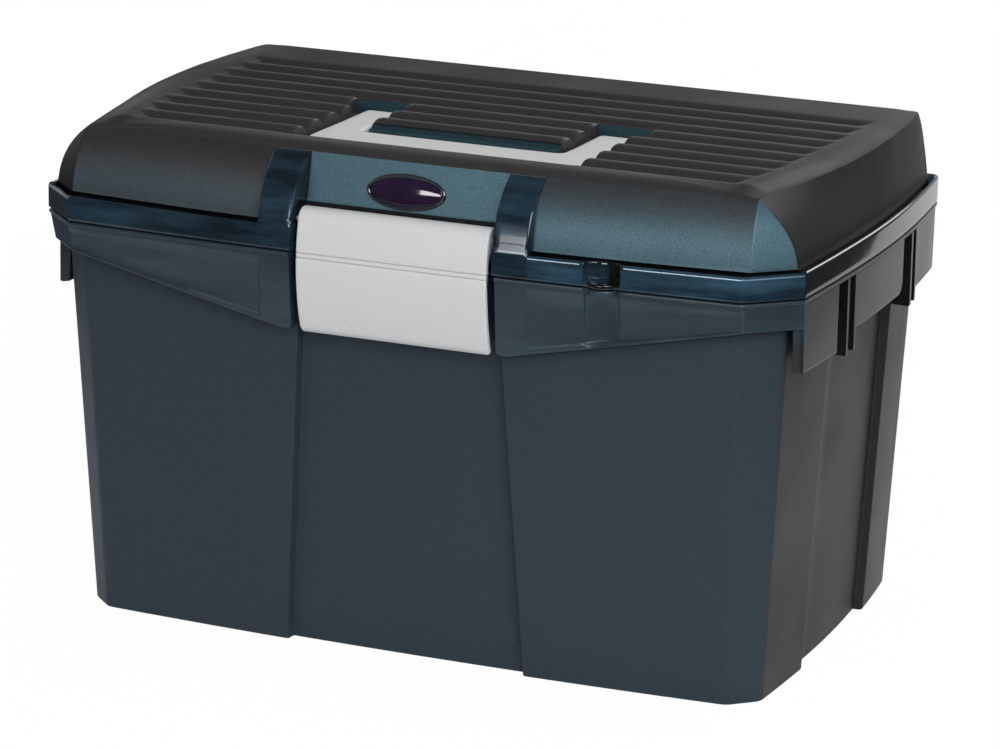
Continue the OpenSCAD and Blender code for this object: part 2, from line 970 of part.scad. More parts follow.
module front_latch() {
    face = [for (i = [0 : flap_steps]) flap_face(i / flap_steps)];
    back = [for (i = [flap_steps : -1 : 0]) [face[i][0] + latch_t, face[i][1]]];
    line_z = split_z - line_drop;
    line_y = flap_face((latch_z - line_z) / latch_drop)[0];
    catch_low = split_z - catch_drop - catch_t;
    catch_front = sunk_front(split_z - catch_drop) - catch_reach;
    ridge_share = (latch_z - catch_low) / latch_drop;
    color(light_grey)
        difference() {
            union() {
                along_x(concat(face, back), -latch_half, latch_half);
                bar_x(latch_roll_r, -latch_half, latch_half, latch_y, latch_z);
                block(
                    -ridge_half, ridge_half, flap_face(ridge_share)[0] + latch_t / 2, catch_front - gap,
                    catch_low - ridge_t, catch_low
                );
            }
            bar_x(latch_pin_r + pin_gap, -latch_half - over, latch_half + over, latch_y, latch_z);
            block(
                -latch_half - over, latch_half + over, line_y - over, line_y + line_depth,
                line_z - line_w / 2, line_z + line_w / 2
            );
        }
}

module latch_pin(side) {
    x0 = latch_half - latch_pin_len / 2;
    color(steel_grey)
        mirror([side < 0 ? 1 : 0, 0, 0])
            bar_x(latch_pin_r, x0, x0 + latch_pin_len, latch_y, latch_z);
}

module latch_pin_left() {
    latch_pin(-1);
}

module latch_pin_right() {
    latch_pin(1);
}

// Badge

// The badge lies on the flat centre panel
badge_z = split_z + badge_rise;
badge_y = centre_y(badge_z);
badge_tilt = 90 - centre_tilt;
// Depth of the seat sunk for the badge
badge_seat_d = 1.4;
dome_rise = 1.5;
dome_rings = 4;

function oval(a, b) =
    [for (i = [0 : oval_steps - 1]) let (t = 360 * i / oval_steps) [a * cos(t), b * sin(t)]];

module on_panel() {
    translate([0, badge_y, badge_z])
        rotate([badge_tilt, 0, 0])
            children();
}

module badge_seat() {
    on_panel()
        translate([0, 0, -badge_seat_d])
            linear_extrude(badge_seat_d + bezel_h + over)
                polygon(oval(badge_a, badge_b));
}

module badge_bezel() {
    color(badge_black)
        on_panel()
            translate([0, 0, -badge_seat_d])
                linear_extrude(badge_seat_d + bezel_h)
                    difference() {
                        polygon(oval(badge_a - pin_gap, badge_b - pin_gap));
                        polygon(oval(badge_a - bezel_w, badge_b - bezel_w));
                    }
}

module badge_dome() {
    a = badge_a - bezel_w - pin_gap;
    b = badge_b - bezel_w - pin_gap;
    rows = concat(
        [level(oval(a, b), -badge_seat_d)],
        [
            for (i = [0 : dome_rings])
            let (turn = 90 * i / (dome_rings + 1))
            level(oval(a * cos(turn), b * cos(turn)), dome_rise * sin(turn))
        ]
    );
    color(badge_black)
        on_panel()
            loft(rows);
}

// Tray

grip_slot_half = 44;
grip_slot_h = 20;
divider_share = 0.34;

module tray_form(wall, z0, z1) {
    rows = [
        for (z = [z0, z1])
        let (
            narrow = tray_draft * (tray_top - z) / tray_h + wall,
            x = tray_half - narrow
        )
        level(rect(-x, x, tray_front + narrow, tray_back - narrow), z)
    ];
    loft(rows);
}

module tray_dividers() {
    front_x = tray_half * divider_share;
    z0 = tray_low + tray_wall;
    for (x = [-front_x, front_x])
        block(x - tray_wall / 2, x + tray_wall / 2, tray_front, tray_y, z0 - over, tray_top);
    block(-tray_wall / 2, tray_wall / 2, tray_y, tray_back, z0 - over, tray_top);
    block(-tray_half, tray_half, tray_y - spine_t / 2, tray_y + spine_t / 2, z0 - over, tray_top);
}

// Raised grip on the spine, with a slot for the fingers
module tray_grip() {
    slope = [
        [-grip_half - grip_rise, tray_top - over], [grip_half + grip_rise, tray_top - over],
        [grip_half, tray_top + grip_rise], [-grip_half, tray_top + grip_rise]
    ];
    along_y(slope, tray_y - spine_t / 2, tray_y + spine_t / 2);
}

module grip_slot() {
    z1 = tray_top - tray_wall;
    for (side = [-1, 1])
        translate([side * (grip_slot_half - grip_slot_h / 2), tray_y + spine_t, z1 - grip_slot_h / 2])
            rotate([90, 0, 0])
                cylinder(r = grip_slot_h / 2, h = 2 * spine_t);
    block(
        -grip_slot_half + grip_slot_h / 2, grip_slot_half - grip_slot_h / 2,
        tray_y - spine_t, tray_y + spine_t, z1 - grip_slot_h, z1
    );
}

module insert_tray() {
    color(tray_grey)
        difference() {
            union() {
                difference() {
                    tray_form(0, tray_low, tray_top);
                    difference() {
                        tray_form(tray_wall, tray_low + tray_wall, tray_top + over);
                        tray_dividers();
                    }
                }
                tray_grip();
            }
            grip_slot();
        }
}

base_tub();
lid_shell();
hinge_pin_left();
hinge_pin_right();
carry_handle();
handle_pin_left();
handle_pin_right();
front_latch();
latch_pin_left();
latch_pin_right();
badge_bezel();
badge_dome();
insert_tray();
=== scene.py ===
import math

import bmesh
import bpy
from mathutils import Matrix, Vector


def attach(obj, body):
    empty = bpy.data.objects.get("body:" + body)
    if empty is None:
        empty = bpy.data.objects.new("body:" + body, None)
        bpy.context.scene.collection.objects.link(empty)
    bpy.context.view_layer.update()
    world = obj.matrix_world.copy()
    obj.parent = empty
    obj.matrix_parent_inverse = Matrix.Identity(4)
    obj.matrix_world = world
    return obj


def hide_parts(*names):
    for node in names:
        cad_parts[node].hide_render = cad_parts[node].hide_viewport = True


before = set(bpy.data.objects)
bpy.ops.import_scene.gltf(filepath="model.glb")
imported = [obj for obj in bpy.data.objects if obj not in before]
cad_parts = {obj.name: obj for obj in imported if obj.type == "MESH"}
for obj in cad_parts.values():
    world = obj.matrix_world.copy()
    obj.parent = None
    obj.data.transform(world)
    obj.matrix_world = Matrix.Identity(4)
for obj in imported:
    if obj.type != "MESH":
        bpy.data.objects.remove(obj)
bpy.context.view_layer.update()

# Lengths are in millimetres here and become metres where a mesh is made
MM = 0.001

# Plan of the rim
HALF_LEN = 199.93
HALF_DEPTH = 126.0
CREASE_X = 175.0
FRONT_BOW = 6.0
END_BOW_FRONT = 6.0
END_BOW = 11.0
END_APEX = -15.0
FACET_ANGLE = math.radians(43.5)
FACET_SIN = math.sin(FACET_ANGLE)
FACET_COS = math.cos(FACET_ANGLE)


def clamp(v, low=0.0, high=1.0):
    return max(low, min(high, v))


def mix(a, b, t):
    return a + (b - a) * t


def smooth(t):
    t = clamp(t)
    return t * t * (3 - 2 * t)


def quarter_round(t):
    """Fall of a rounded edge, from 0 where it starts at t = 0 to 1 at t = 1."""
    return 1 - math.sqrt(1 - clamp(t) ** 2)


def table(points, v):
    """Straight-line reading of a list of (place, value) pairs."""
    if v <= points[0][0]:
        return points[0][1]
    for (a, fa), (b, fb) in zip(points, points[1:]):
        if v <= b:
            return mix(fa, fb, (v - a) / (b - a))
    return points[-1][1]


def front_bow(x):
    return FRONT_BOW * (x / CREASE_X) ** 2


def end_bow(y):
    bow = END_BOW_FRONT if y < END_APEX else END_BOW
    return bow * ((y - END_APEX) / (HALF_DEPTH - END_APEX)) ** 2


def front_line(x, inset):
    return -HALF_DEPTH + inset + front_bow(x)


def end_line(y, inset):
    return HALF_LEN - inset - end_bow(y)


FACET_REACH = CREASE_X * FACET_SIN - front_line(CREASE_X, 0) * FACET_COS

# Meshes


class Build:
    """Points, faces, face materials and a tint per point, gathered for one mesh."""

    # Points this close become one
    WELD = 0.004 * MM

    def __init__(self):
        self.points = []
        self.faces = []
        self.kinds = []
        self.tints = []

    def add(self, rows, kind=0, tints=0.0, closed=True, cap_ends=False):
        """A sheet of quads through rows of equal length; closed joins each row's end to its start.

        kind and tints are one value for the sheet, or functions of row and column.
        """
        first = len(self.points)
        count = len(rows[0])
        for r, row in enumerate(rows):
            for c, p in enumerate(row):
                self.points.append(p)
                self.tints.append(tints(r, c) if callable(tints) else tints)
        last = count if closed else count - 1
        for r in range(len(rows) - 1):
            for c in range(last):
                a = first + r * count + c
                b = first + r * count + (c + 1) % count
                self.faces.append((a, b, b + count, a + count))
                self.kinds.append(kind(r, c) if callable(kind) else kind)
        if cap_ends:
            self.faces.append(tuple(first + c for c in range(count)))
            self.faces.append(tuple(first + (len(rows) - 1) * count + c for c in range(count)))
            self.kinds += [kind, kind]

    def make(self, name, materials, sharp=32.0):
        """The piece; edges that turn by more than sharp degrees stay crisp."""
        mesh = bpy.data.meshes.new(name)
        mesh.from_pydata([[v * MM for v in p] for p in self.points], [], self.faces)
        for polygon, kind in zip(mesh.polygons, self.kinds):
            polygon.material_index = kind
        tint = mesh.attributes.new("tint", "FLOAT", "POINT")
        for i, v in enumerate(self.tints):
            tint.data[i].value = v
        work = bmesh.new()
        work.from_mesh(mesh)
        bmesh.ops.remove_doubles(work, verts=work.verts, dist=self.WELD)
        bmesh.ops.dissolve_degenerate(work, edges=work.edges, dist=self.WELD)
        bmesh.ops.recalc_face_normals(work, faces=work.faces)
        work.to_mesh(mesh)
        work.free()
        mesh.shade_smooth()
        mesh.set_sharp_from_angle(angle=math.radians(sharp))
        for m in materials:
            mesh.materials.append(m)
        piece = bpy.data.objects.new(name, mesh)
        bpy.context.scene.collection.objects.link(piece)
        return piece


# Columns and rows that all levels of a moulding share


class Columns:
    """Places of the upright lines of a moulding: x along the front and back, y along the ends."""

    # Middle stretches keep their places; the rest is stretched to meet the corners of each level
    X_FIXED = 120.0
    Y_FIXED = (-84.5, 70.0)
    Y_ENDS = (-97.0, 117.0)
    BACK_FIXED = 90.0
    # Steps of half a back corner's rounding, of each rounding beside the front facet, and of the facet
    BACK_ARC = 4
    ARC = 4
    FACET = 3
    # Last step of the corner that still has the facet's tint
    CRISP = ARC + FACET + 1

    def __init__(self, xs, ys):
        self.xs = xs
        self.ys = ys

    def x_place(self, x, last):
        if x <= self.X_FIXED:
            return x
        return self.X_FIXED + (x - self.X_FIXED) * (last - self.X_FIXED) / (CREASE_X - self.X_FIXED)

    def y_place(self, y, first, last):
        low, high = self.Y_FIXED
        if y < low:
            return low + (y - low) * (first - low) / (self.Y_ENDS[0] - low)
        if y > high:
            return high + (y - high) * (last - high) / (self.Y_ENDS[1] - high)
        return y


def bend(a, b, c, t):
    """Point on the curve that leaves a towards b and arrives at c."""
    u = 1 - t
    return [u * u * p + 2 * u * t * q + t * t * r for p, q, r in zip(a, b, c)]


class Level:
    """One level of a moulding: front, ends and back are functions that give (inset, z) along them.

    The facet is one such pair, and soft is how far the facet's two edges are rounded.
    """

    BACK_ROUND = 3.0
    BACK_CLEAR = 1.0
    # Most of the facet that the rounding of one edge takes up, and the width below which there is no facet
    SOFT_SHARE = 0.45
    NO_FACET = 1e-6
    # Where the search for the corners starts behind the front, its rounds, and how close the corners may come
    SEARCH_FROM = 30.0
    FRONT_ROUNDS = 8
    END_ROUNDS = 14
    CORNER_LEAST = 0.01

    def __init__(self, front, facet, end, back, soft, warp=None, left_end=None):
        self.front = front
        self.facet = facet
        self.ends = {1: end, -1: left_end or end}
        self.back = back
        self.soft = soft
        self.warp = warp

    def corners(self, side):
        """Where the facet meets the front and the end; one point where these two meet without a facet."""
        inset_front = self.front(side * CREASE_X)[0]
        end_at = self.ends[side]
        x = CREASE_X
        for _ in range(self.FRONT_ROUNDS):
            x = (FACET_REACH - self.facet[0] + front_line(x, inset_front) * FACET_COS) / FACET_SIN
        y = -HALF_DEPTH + self.SEARCH_FROM
        for _ in range(self.END_ROUNDS):
            y = (end_line(y, end_at(y)[0]) * FACET_SIN - FACET_REACH + self.facet[0]) / FACET_COS
        first = [x, front_line(x, inset_front)]
        second = [end_line(y, end_at(y)[0]), y]
        if second[1] <= first[1] + self.CORNER_LEAST:
            x, y = CREASE_X, first[1]
            for _ in range(self.END_ROUNDS):
                x = end_line(y, end_at(y)[0])
                y = front_line(x, inset_front)
            first = [x, y]
            second = [x, y]
        return first, second

    def half(self, columns, side):
        """Front, corner, end and back points of one half, x always positive."""
        # The facet's edge at the front is near, its edge at the end is far
        near, far = self.corners(side)
        end_at = self.ends[side]
        facet_z = self.facet[1]
        long = math.hypot(far[0] - near[0], far[1] - near[1])
        near_cut = min(self.soft[0], self.SOFT_SHARE * long)
        far_cut = min(self.soft[1], self.SOFT_SHARE * long)
        along = [0.0, 0.0]
        if long > self.NO_FACET:
            along = [(far[0] - near[0]) / long, (far[1] - near[1]) / long]
        front = []
        xs = self.warp(columns.xs) if self.warp else columns.xs
        for x in xs:
            x = columns.x_place(x, near[0] - near_cut)
            inset, z = self.front(side * x)
            front.append([x, front_line(x, inset), z])
        back_y = HALF_DEPTH - self.back(0)[0]
        turn_y = back_y - self.BACK_ROUND
        end = []
        arc = columns.BACK_ARC
        straight = columns.ys[: len(columns.ys) - arc]
        for y in straight:
            y = columns.y_place(y, far[1] + far_cut, turn_y)
            inset, z = end_at(y)
            end.append([end_line(y, inset), y, z])
        a = end[-1]
        inset, z = end_at(back_y)
        corner_x = end_line(back_y, inset)
        b = [corner_x, back_y, z]
        c = [corner_x - self.BACK_ROUND, back_y, self.back(corner_x)[1]]
        end += [bend(a, b, c, 0.5 * i / arc) for i in range(1, arc + 1)]
        back = [bend(a, b, c, 0.5 + 0.5 * i / arc) for i in range(1, arc + 1)]
        stretch = (c[0] - self.BACK_CLEAR) / columns.xs[-1 - arc]
        for x in reversed(columns.xs[: -1 - arc]):
            inset, z = self.back(x)
            back.append([x * stretch if x > columns.BACK_FIXED else x, HALF_DEPTH - inset, z])
        start = front[-1]
        flat_from = [near[0] + along[0] * near_cut, near[1] + along[1] * near_cut, facet_z]
        flat_to = [far[0] - along[0] * far_cut, far[1] - along[1] * far_cut, facet_z]
        arcs = columns.ARC
        corner = [bend(start, near + [facet_z], flat_from, i / arcs) for i in range(1, arcs + 1)]
        for i in range(1, columns.FACET):
            t = i / columns.FACET
            corner.append([mix(p, q, t) for p, q in zip(flat_from, flat_to)])
        corner += [bend(flat_to, far + [facet_z], end[0], i / arcs) for i in range(arcs)]
        if long < self.NO_FACET:
            corner = [start] * len(corner)
            end[0] = start
        return front, corner, end, back

    def loop(self, columns):
        """The whole level, once round."""
        right = [p for part in self.half(columns, 1) for p in part]
        left = [p for part in self.half(columns, -1) for p in part]
        return right + [[-x, y, z] for x, y, z in reversed(left[1:-1])]


def cover(columns, level, height):
    """Sheet that closes a level across the box.

    height(x, y, share, z) gives its height, where share runs to 1 at the front edge, which lies at z.
    """
    halves = []
    fixed = columns.X_FIXED
    low, high = columns.Y_FIXED
    first, last = columns.Y_ENDS
    xs = level.warp(columns.xs) if level.warp else columns.xs
    for side in (1, -1):
        front, _, end, back = level.half(columns, side)
        back = ([end[-1]] + back)[::-1]
        rows = []
        for j, y in enumerate(columns.ys):
            ahead = clamp((low - y) / (low - first))
            behind = clamp((y - high) / (last - high))
            row = []
            for i, x in enumerate(xs):
                aside = clamp((x - fixed) / (CREASE_X - fixed))
                if j == 0:
                    row.append(front[i])
                elif j == len(columns.ys) - 1:
                    row.append(back[i])
                elif i == len(xs) - 1:
                    row.append(end[j])
                else:
                    # The shifts of the end, the front and the back edge run out towards the middle
                    px = x + aside * (end[j][0] - CREASE_X)
                    px += ahead * (front[i][0] - x - aside * (front[-1][0] - CREASE_X))
                    px += behind * (back[i][0] - x - aside * (back[-1][0] - CREASE_X))
                    py = y + aside * (end[j][1] - y)
                    py += ahead * (front[i][1] - first - aside * (front[-1][1] - first))
                    py += behind * (back[i][1] - last - aside * (back[-1][1] - last))
                    row.append([px, py, height(px, py, ahead, front[i][2])])
            rows.append(row)
        halves.append(rows)
    right, left = halves
    return [[[-x, y, z] for x, y, z in reversed(a[1:])] + b for a, b in zip(left, right)]


def spread(*lists, least=0.18):
    """Sorted places without near doubles."""
    out = []
    for v in sorted(v for one in lists for v in one):
        if not out or v - out[-1] >= least:
            out.append(v)
    return out


def about(places, offsets):
    """Each of the places with each of the offsets added."""
    return [p + d for p in places for d in offsets]


# Lid

SPLIT_Z = 202.0
LID_LOW = 202.6
TOP_Z = 250.0
# Rounded part: its height, how far and how squarely its front curves in, and insets at the foot of its sides
DOME_LOW = 207.2
DOME_H = TOP_Z - DOME_LOW
FRONT_ROUND = 31.5
SQUARE = 0.7
PANEL_SET = 6.6
PANEL_BACK = PANEL_SET + FRONT_ROUND
FACET_SET = 3.8
FACET_ROUND = 26.3
END_FOOT = 4.4
BACK_FOOT = 4.4
BACK_LEAN = 8.0
BACK_TOP_ROUND = 4.0
BACK_TOP_SHARE = 0.7
LID_WALL = 3.0

# Latch pocket and padlock eye with the scoop above it
POCKET_HALF = 52.0
POCKET_BACK = 16.4
EYE_X = 106.7
SCOOP_R = 8.9
SCOOP_SHARE = 0.68
SCOOP_BACK = 9.2

# Ribs of the top: hollows between crests, each an arc
RIB_PITCH = 18.2
RIB_FRONT = -77.0
RIB_COUNT = 9
RIB_DEPTH = 4.2
RIB_R = ((RIB_PITCH / 2) ** 2 + RIB_DEPTH ** 2) / (2 * RIB_DEPTH)

# Recess of the handle: its outline, the island that the handle surrounds, and the wider part at its pivots
RECESS_FLOOR = 235.2
RECESS_HALF = 74.8
RECESS_FRONT = -83.5
RECESS_BACK = 7.1
ISLAND_HALF = 50.7
ISLAND_FRONT = -42.2
ISLAND_BACK = 60.0
PIVOT_HALF = 79.8
PIVOT_FRONT = -10.1
# The recess's upper edge rounds off over this width by this drop, and its wall has this place and width
RECESS_SOFT = 2.4
RECESS_DROP = 1.1
WALL_IN = 0.5
WALL_W = 0.9

# Crisp edge between the ribbed top and the ends: y against x and against z
EDGE_X = [
    (-97.8, 173.9), (-94, 174.6), (-81.8, 176.8), (-67.3, 179.3), (-51.2, 182), (-34.6, 184.6),
    (-18.1, 186.8), (0.4, 188.3), (20, 188.9), (47, 188.4), (75, 186.4), (98, 183.8), (112, 181.5),
]
EDGE_Z = [(-97.8, 246.9), (-50, 247.3), (-18, 248.1), (0, 248.5), (40, 249.2), (112, 249.5)]
# Outer ends of the ribs, front to back
RIB_ENDS = [(-86, 158), (-66, 161.5), (-46, 165.3), (-28, 166.6), (7, 168.2), (26, 169.5), (78, 170.2)]
EDGE_SLOPE = 16.0
EDGE_POWER = 1.5
RUN_OUT = 12.0
CORNER_TURN = math.radians(68)
# Where the rounded front passes into the ribbed top: y at the middle and at the corners, x of the change
TOP_FRONT = -87.9
TOP_FRONT_CORNER = -97.8
TOP_SHIFT_X = 105.0
TOP_SHIFT_W = 69.0
# How steeply the ends curve in, at the back and more at the front, from which y on and over which length
END_POWER = 1.4
END_POWER_MORE = 1.3
END_POWER_Y = 4.0
END_POWER_W = 100.0


def bulge(turn):
    return max(math.cos(turn), 0.0) ** SQUARE


def turn_limit(x):
    """How far the rounded front turns over at x before the ribbed top takes over."""
    y = mix(TOP_FRONT, TOP_FRONT_CORNER, smooth((abs(x) - TOP_SHIFT_X) / TOP_SHIFT_W))
    inset = y + HALF_DEPTH - front_bow(x)
    share = clamp((PANEL_BACK - inset) / FRONT_ROUND)
    return math.acos(clamp(share ** (1 / SQUARE)))


# Along the front: height of the foot of the panels, and how far the rim's lip lies lower than at the ends
PANEL_FOOT = [(-172, 216.5), (-138, 216.2), (-104, 215.8), (70, 215.5), (125, 215.7), (172, 216.2)]
LIP_DROP = [(-172, 0.0), (-118, 0.6), (-84, 0.9), (76, 1.0), (118, 0.7), (173, 0.4)]
CORNER_FOOT = PANEL_FOOT[-1][1]
# Rows of the rim band: those of its lip and of the scoop, and the first ones of the pocket's back, of the
# gutter, of the panels' foot and of the panels
LIP_ROWS = range(5, 13)
SCOOP_ROWS = range(4, 15)
POCKET_ROW = 3
GUTTER_ROW = 12
FOOT_ROW = 16
PANEL_ROW = 17
# Centre panel: its crisp top edge, how far that is set back, its lean and its foot
CENTRE_TOP = 247.0
CENTRE_SET = 22.45
CENTRE_ANGLE = math.radians(12.3)
CENTRE_LEAN = math.tan(CENTRE_ANGLE)
CENTRE_FOOT = 224.1
# Straps: lowest and highest point, how much of the strap there is at x, and the groove above them
STRAP_FOOT = 219.2
STRAP_TOP = 246.4
STRAP_INNER = [(51.75, 0), (51.95, 0.8), (52.3, 0.93), (52.9, 0.985), (53.6, 1)]
STRAP_OUTER = [(68.4, 1), (69.1, 0.985), (69.65, 0.93), (69.95, 0.8), (70.1, 0)]
STRAP_IN = STRAP_INNER[0][0]
STRAP_OUT = STRAP_OUTER[-1][0]
STRAP_GROOVE = 0.4

# Sections of the rim band as (inset, z), from its inner lower edge over the lip and the gutter to the panels;
# the heights of the front's last rows are measured from the foot of the panels
RIM_FACE = [
    (0.6, LID_LOW), (0.15, 202.95), (0, 203.6), (0, 205.4), (0, 213.3), (0.03, 213.5), (0.22, 214.25),
    (0.28, 214.4),
]
RIM_FRONT = [(12.8, LID_LOW)] + RIM_FACE + [
    (0.75, 214.85), (1.9, 215.0), (2.5, 214.7), (2.75, 214.0), (3.0, 209.6), (3.6, 208.5),
    (9.2, 208.2), (9.8, -1.5), (9.3, -1.0), (7.3, -0.8), (6.95, -0.45),
]
RIM_FACET = [(9.8, LID_LOW)] + RIM_FACE + [
    (0.75, 214.85), (1.5, 215.0), (2.0, 214.7), (2.2, 214.0), (2.3, 210.6), (2.7, 209.8),
    (6.2, 209.5), (6.8, 214.9), (6.4, 215.3), (4.6, 215.45), (4.25, 215.75),
]
RIM_END = [(7.4, LID_LOW)] + RIM_FACE[:5] + [
    (0.02, 214.2), (0.1, 214.5), (0.25, 214.75), (0.6, 214.95), (1.4, 215.0), (1.9, 214.7), (2.1, 214.0),
    (2.2, 211.4), (2.6, 210.6), (3.6, 210.4), (4.3, 211.2), (4.4, 212.8), (4.4, 214.0), (4.42, 215.2),
]
RIM_STRAP = [(12.8, LID_LOW)] + RIM_FACE[:4] + [
    (0, 211.5), (0.02, 212.3), (0.07, 213.0), (0.15, 213.6), (0.24, 214.1),
] + [(0.35 + 0.11 * i, 214.6 + 0.45 * i) for i in range(9)] + [(1.34, 218.7)]
RIM_POCKET = [(19.4, LID_LOW), (17.2, LID_LOW), (16.6, 202.95)] + [
    (POCKET_BACK, z)
    for z in (203.6, 205.6, 209.4, 213.2, 215, 216.5, 218, 219, 220, 221, 221.8, 222.4, 222.9)
] + [(16.5, 223.3), (16.7, 223.6), (17.0, 223.75), (17.3, 223.9)]
# Rows of the rounded part, as shares of its height; EDGE_SHARE is the top edge of the centre panel
EDGE_SHARE = 0.76
GROOVE_SHARE = 0.754
STRAP_SHARE = 0.745
DOME_SHARES = [EDGE_SHARE * i / 19 for i in range(19)] + [STRAP_SHARE, GROOVE_SHARE, EDGE_SHARE, 0.767, 0.78]
DOME_SHARES += [0.81, 0.85, 0.89, 0.93, 0.97, 1.0]
# Least turn left between the centre panel's top edge and the ribbed top
EDGE_MARGIN = math.radians(6)


def height_turn(z):
    return math.asin((z - DOME_LOW) / DOME_H)


EDGE_TURN = height_turn(CENTRE_TOP)


def dome_z(turn):
    return DOME_LOW + DOME_H * math.sin(turn)


def dome_inset(turn):
    return PANEL_BACK - FRONT_ROUND * bulge(turn)


def facet_inset(turn):
    return FACET_SET + FACET_ROUND * (1 - bulge(turn))


def foot_z(x):
    return table(PANEL_FOOT, x)


def row_turn(t, last, foot=CORNER_FOOT):
    """Turn of the rounded front at share t of its height, from the height foot up to the turn last."""
    edge = min(EDGE_TURN, last - EDGE_MARGIN)
    if t <= EDGE_SHARE:
        return mix(height_turn(foot), edge, t / EDGE_SHARE)
    return mix(edge, last, (t - EDGE_SHARE) / (1 - EDGE_SHARE))


def centre_inset(z):
    return CENTRE_SET - (CENTRE_TOP - z) * CENTRE_LEAN


def strap_share(x):
    return min(table(STRAP_INNER, abs(x)), table(STRAP_OUTER, abs(x)))


def scoop(x):
    """Depth at x of the half-round scoop above the padlock eye."""
    d = x - EYE_X
    return math.sqrt(SCOOP_R ** 2 - d * d) if abs(d) < SCOOP_R else 0.0


def rim_front(k):
    def place(x):
        if abs(x) < POCKET_HALF:
            inset, z = RIM_POCKET[k]
        else:
            inset, z = RIM_FRONT[k]
            if k >= FOOT_ROW:
                z += foot_z(x)
            if k in LIP_ROWS:
                z -= table(LIP_DROP, x)
        cut = scoop(x)
        if cut and k in SCOOP_ROWS:
            inset = min(inset + cut * SCOOP_SHARE, SCOOP_BACK)
        w = strap_share(x)
        return mix(inset, RIM_STRAP[k][0], w), mix(z, RIM_STRAP[k][1], w)
    return place


def rim_level(k):
    side = lambda v: RIM_END[k]
    inset, z = RIM_FACET[k]
    facet = (inset, z - LIP_DROP[-1][1] if k in LIP_ROWS else z)
    return Level(rim_front(k), facet, side, side, soft=(0.7, 0.7))


# How far the straps stand out from the panels: share of their height, distance
STRAP_PROUD = [(0, 6.05), (0.15, 5.55), (0.3, 5.3), (0.45, 4.6), (0.6, 3.4), (0.85, 2.0), (1, 0.8)]


def dome_front(t):
    def place(x):
        turn = row_turn(t, turn_limit(x), foot_z(x))
        inset, z = dome_inset(turn), dome_z(turn)
        if t >= EDGE_SHARE:
            return inset, z
        if abs(x) < POCKET_HALF:
            z = mix(CENTRE_FOOT, CENTRE_TOP, t / EDGE_SHARE)
            inset = centre_inset(z)
        w = strap_share(x)
        if w > 0:
            if t > STRAP_SHARE:
                proud = -STRAP_GROOVE
                proud_z = mix(STRAP_TOP, CENTRE_TOP, 0.5)
            else:
                share = t / STRAP_SHARE
                proud = table(STRAP_PROUD, share)
                proud_z = dome_z(mix(height_turn(STRAP_FOOT), height_turn(STRAP_TOP), share))
            proud_inset = dome_inset(height_turn(proud_z)) - proud
            inset, z = mix(inset, proud_inset, w), mix(z, proud_z, w)
        return inset, z
    return place


def end_reach(y):
    """Inset of the end's crisp top edge."""
    return HALF_LEN - end_bow(y) - table(EDGE_X, y)


def end_inset(y, rise):
    """Inset of the ends; rise runs from 0 at their foot to 1 at their top edge."""
    power = END_POWER + END_POWER_MORE * clamp((END_POWER_Y - y) / END_POWER_W)
    return mix(END_FOOT, end_reach(y), rise ** power)


def end_rise(t):
    return math.sin(row_turn(t, CORNER_TURN)) / math.sin(CORNER_TURN)


def dome_end(t):
    rise = end_rise(t)
    return lambda y: (end_inset(y, rise), mix(DOME_LOW, table(EDGE_Z, y), rise))


def dome_back(t):
    rise = end_rise(t)
    inset = BACK_FOOT + BACK_LEAN * rise
    inset += BACK_TOP_ROUND * quarter_round((rise - BACK_TOP_SHARE) / (1 - BACK_TOP_SHARE))
    return lambda x: (inset, mix(DOME_LOW, EDGE_Z[-1][1], rise))


def dome_level(t):
    turn = row_turn(t, CORNER_TURN)
    facet = facet_inset(turn) if t < 1 else 0.0
    return Level(dome_front(t), (facet, dome_z(turn)), dome_end(t), dome_back(t), soft=(0.4, 0.7))


def rect_distance(x, y, x0, x1, y0, y1):
    """Distance outside a rectangle; negative inside it."""
    dx = max(x0 - x, x - x1)
    dy = max(y0 - y, y - y1)
    if dx > 0 and dy > 0:
        return math.hypot(dx, dy)
    return max(dx, dy)


def recess_distance(x, y):
    """Distance outside the edge of the handle's recess; negative inside it."""
    x = abs(x)
    pan = rect_distance(x, y, -RECESS_HALF, RECESS_HALF, RECESS_FRONT, RECESS_BACK)
    island = rect_distance(x, y, -ISLAND_HALF, ISLAND_HALF, ISLAND_FRONT, ISLAND_BACK)
    pan = max(pan, -island)
    pivot = rect_distance(x, y, ISLAND_HALF, PIVOT_HALF, PIVOT_FRONT, RECESS_BACK)
    return min(pan, pivot)


def rib_drop(y):
    """Depth below the crests at y, with no run-outs."""
    back = RIB_FRONT + (RIB_COUNT - 1) * RIB_PITCH
    if y < RIB_FRONT - RIB_PITCH / 2 or y > back + RIB_PITCH / 2:
        return 0.0
    phase = (y - RIB_FRONT) / RIB_PITCH
    away = RIB_PITCH / 2 - abs(phase - round(phase)) * RIB_PITCH
    return RIB_R - math.sqrt(RIB_R ** 2 - away * away)


def top_height(x, y, share, front_z):
    flat = abs(x)
    edge = table(EDGE_X, y)
    near = smooth((flat - (edge - EDGE_SLOPE)) / EDGE_SLOPE)
    z = TOP_Z - (TOP_Z - table(EDGE_Z, y)) * near ** EDGE_POWER
    run_in = clamp((table(RIB_ENDS, y) - flat) / RUN_OUT)
    z -= min(rib_drop(y), RIB_DEPTH * run_in)
    away = recess_distance(x, y)
    if away < RECESS_SOFT:
        z -= RECESS_DROP * (1 - clamp(away / RECESS_SOFT)) ** 2
        z = mix(RECESS_FLOOR, z, smooth((away + WALL_IN) / WALL_W))
    return mix(z, front_z, share)


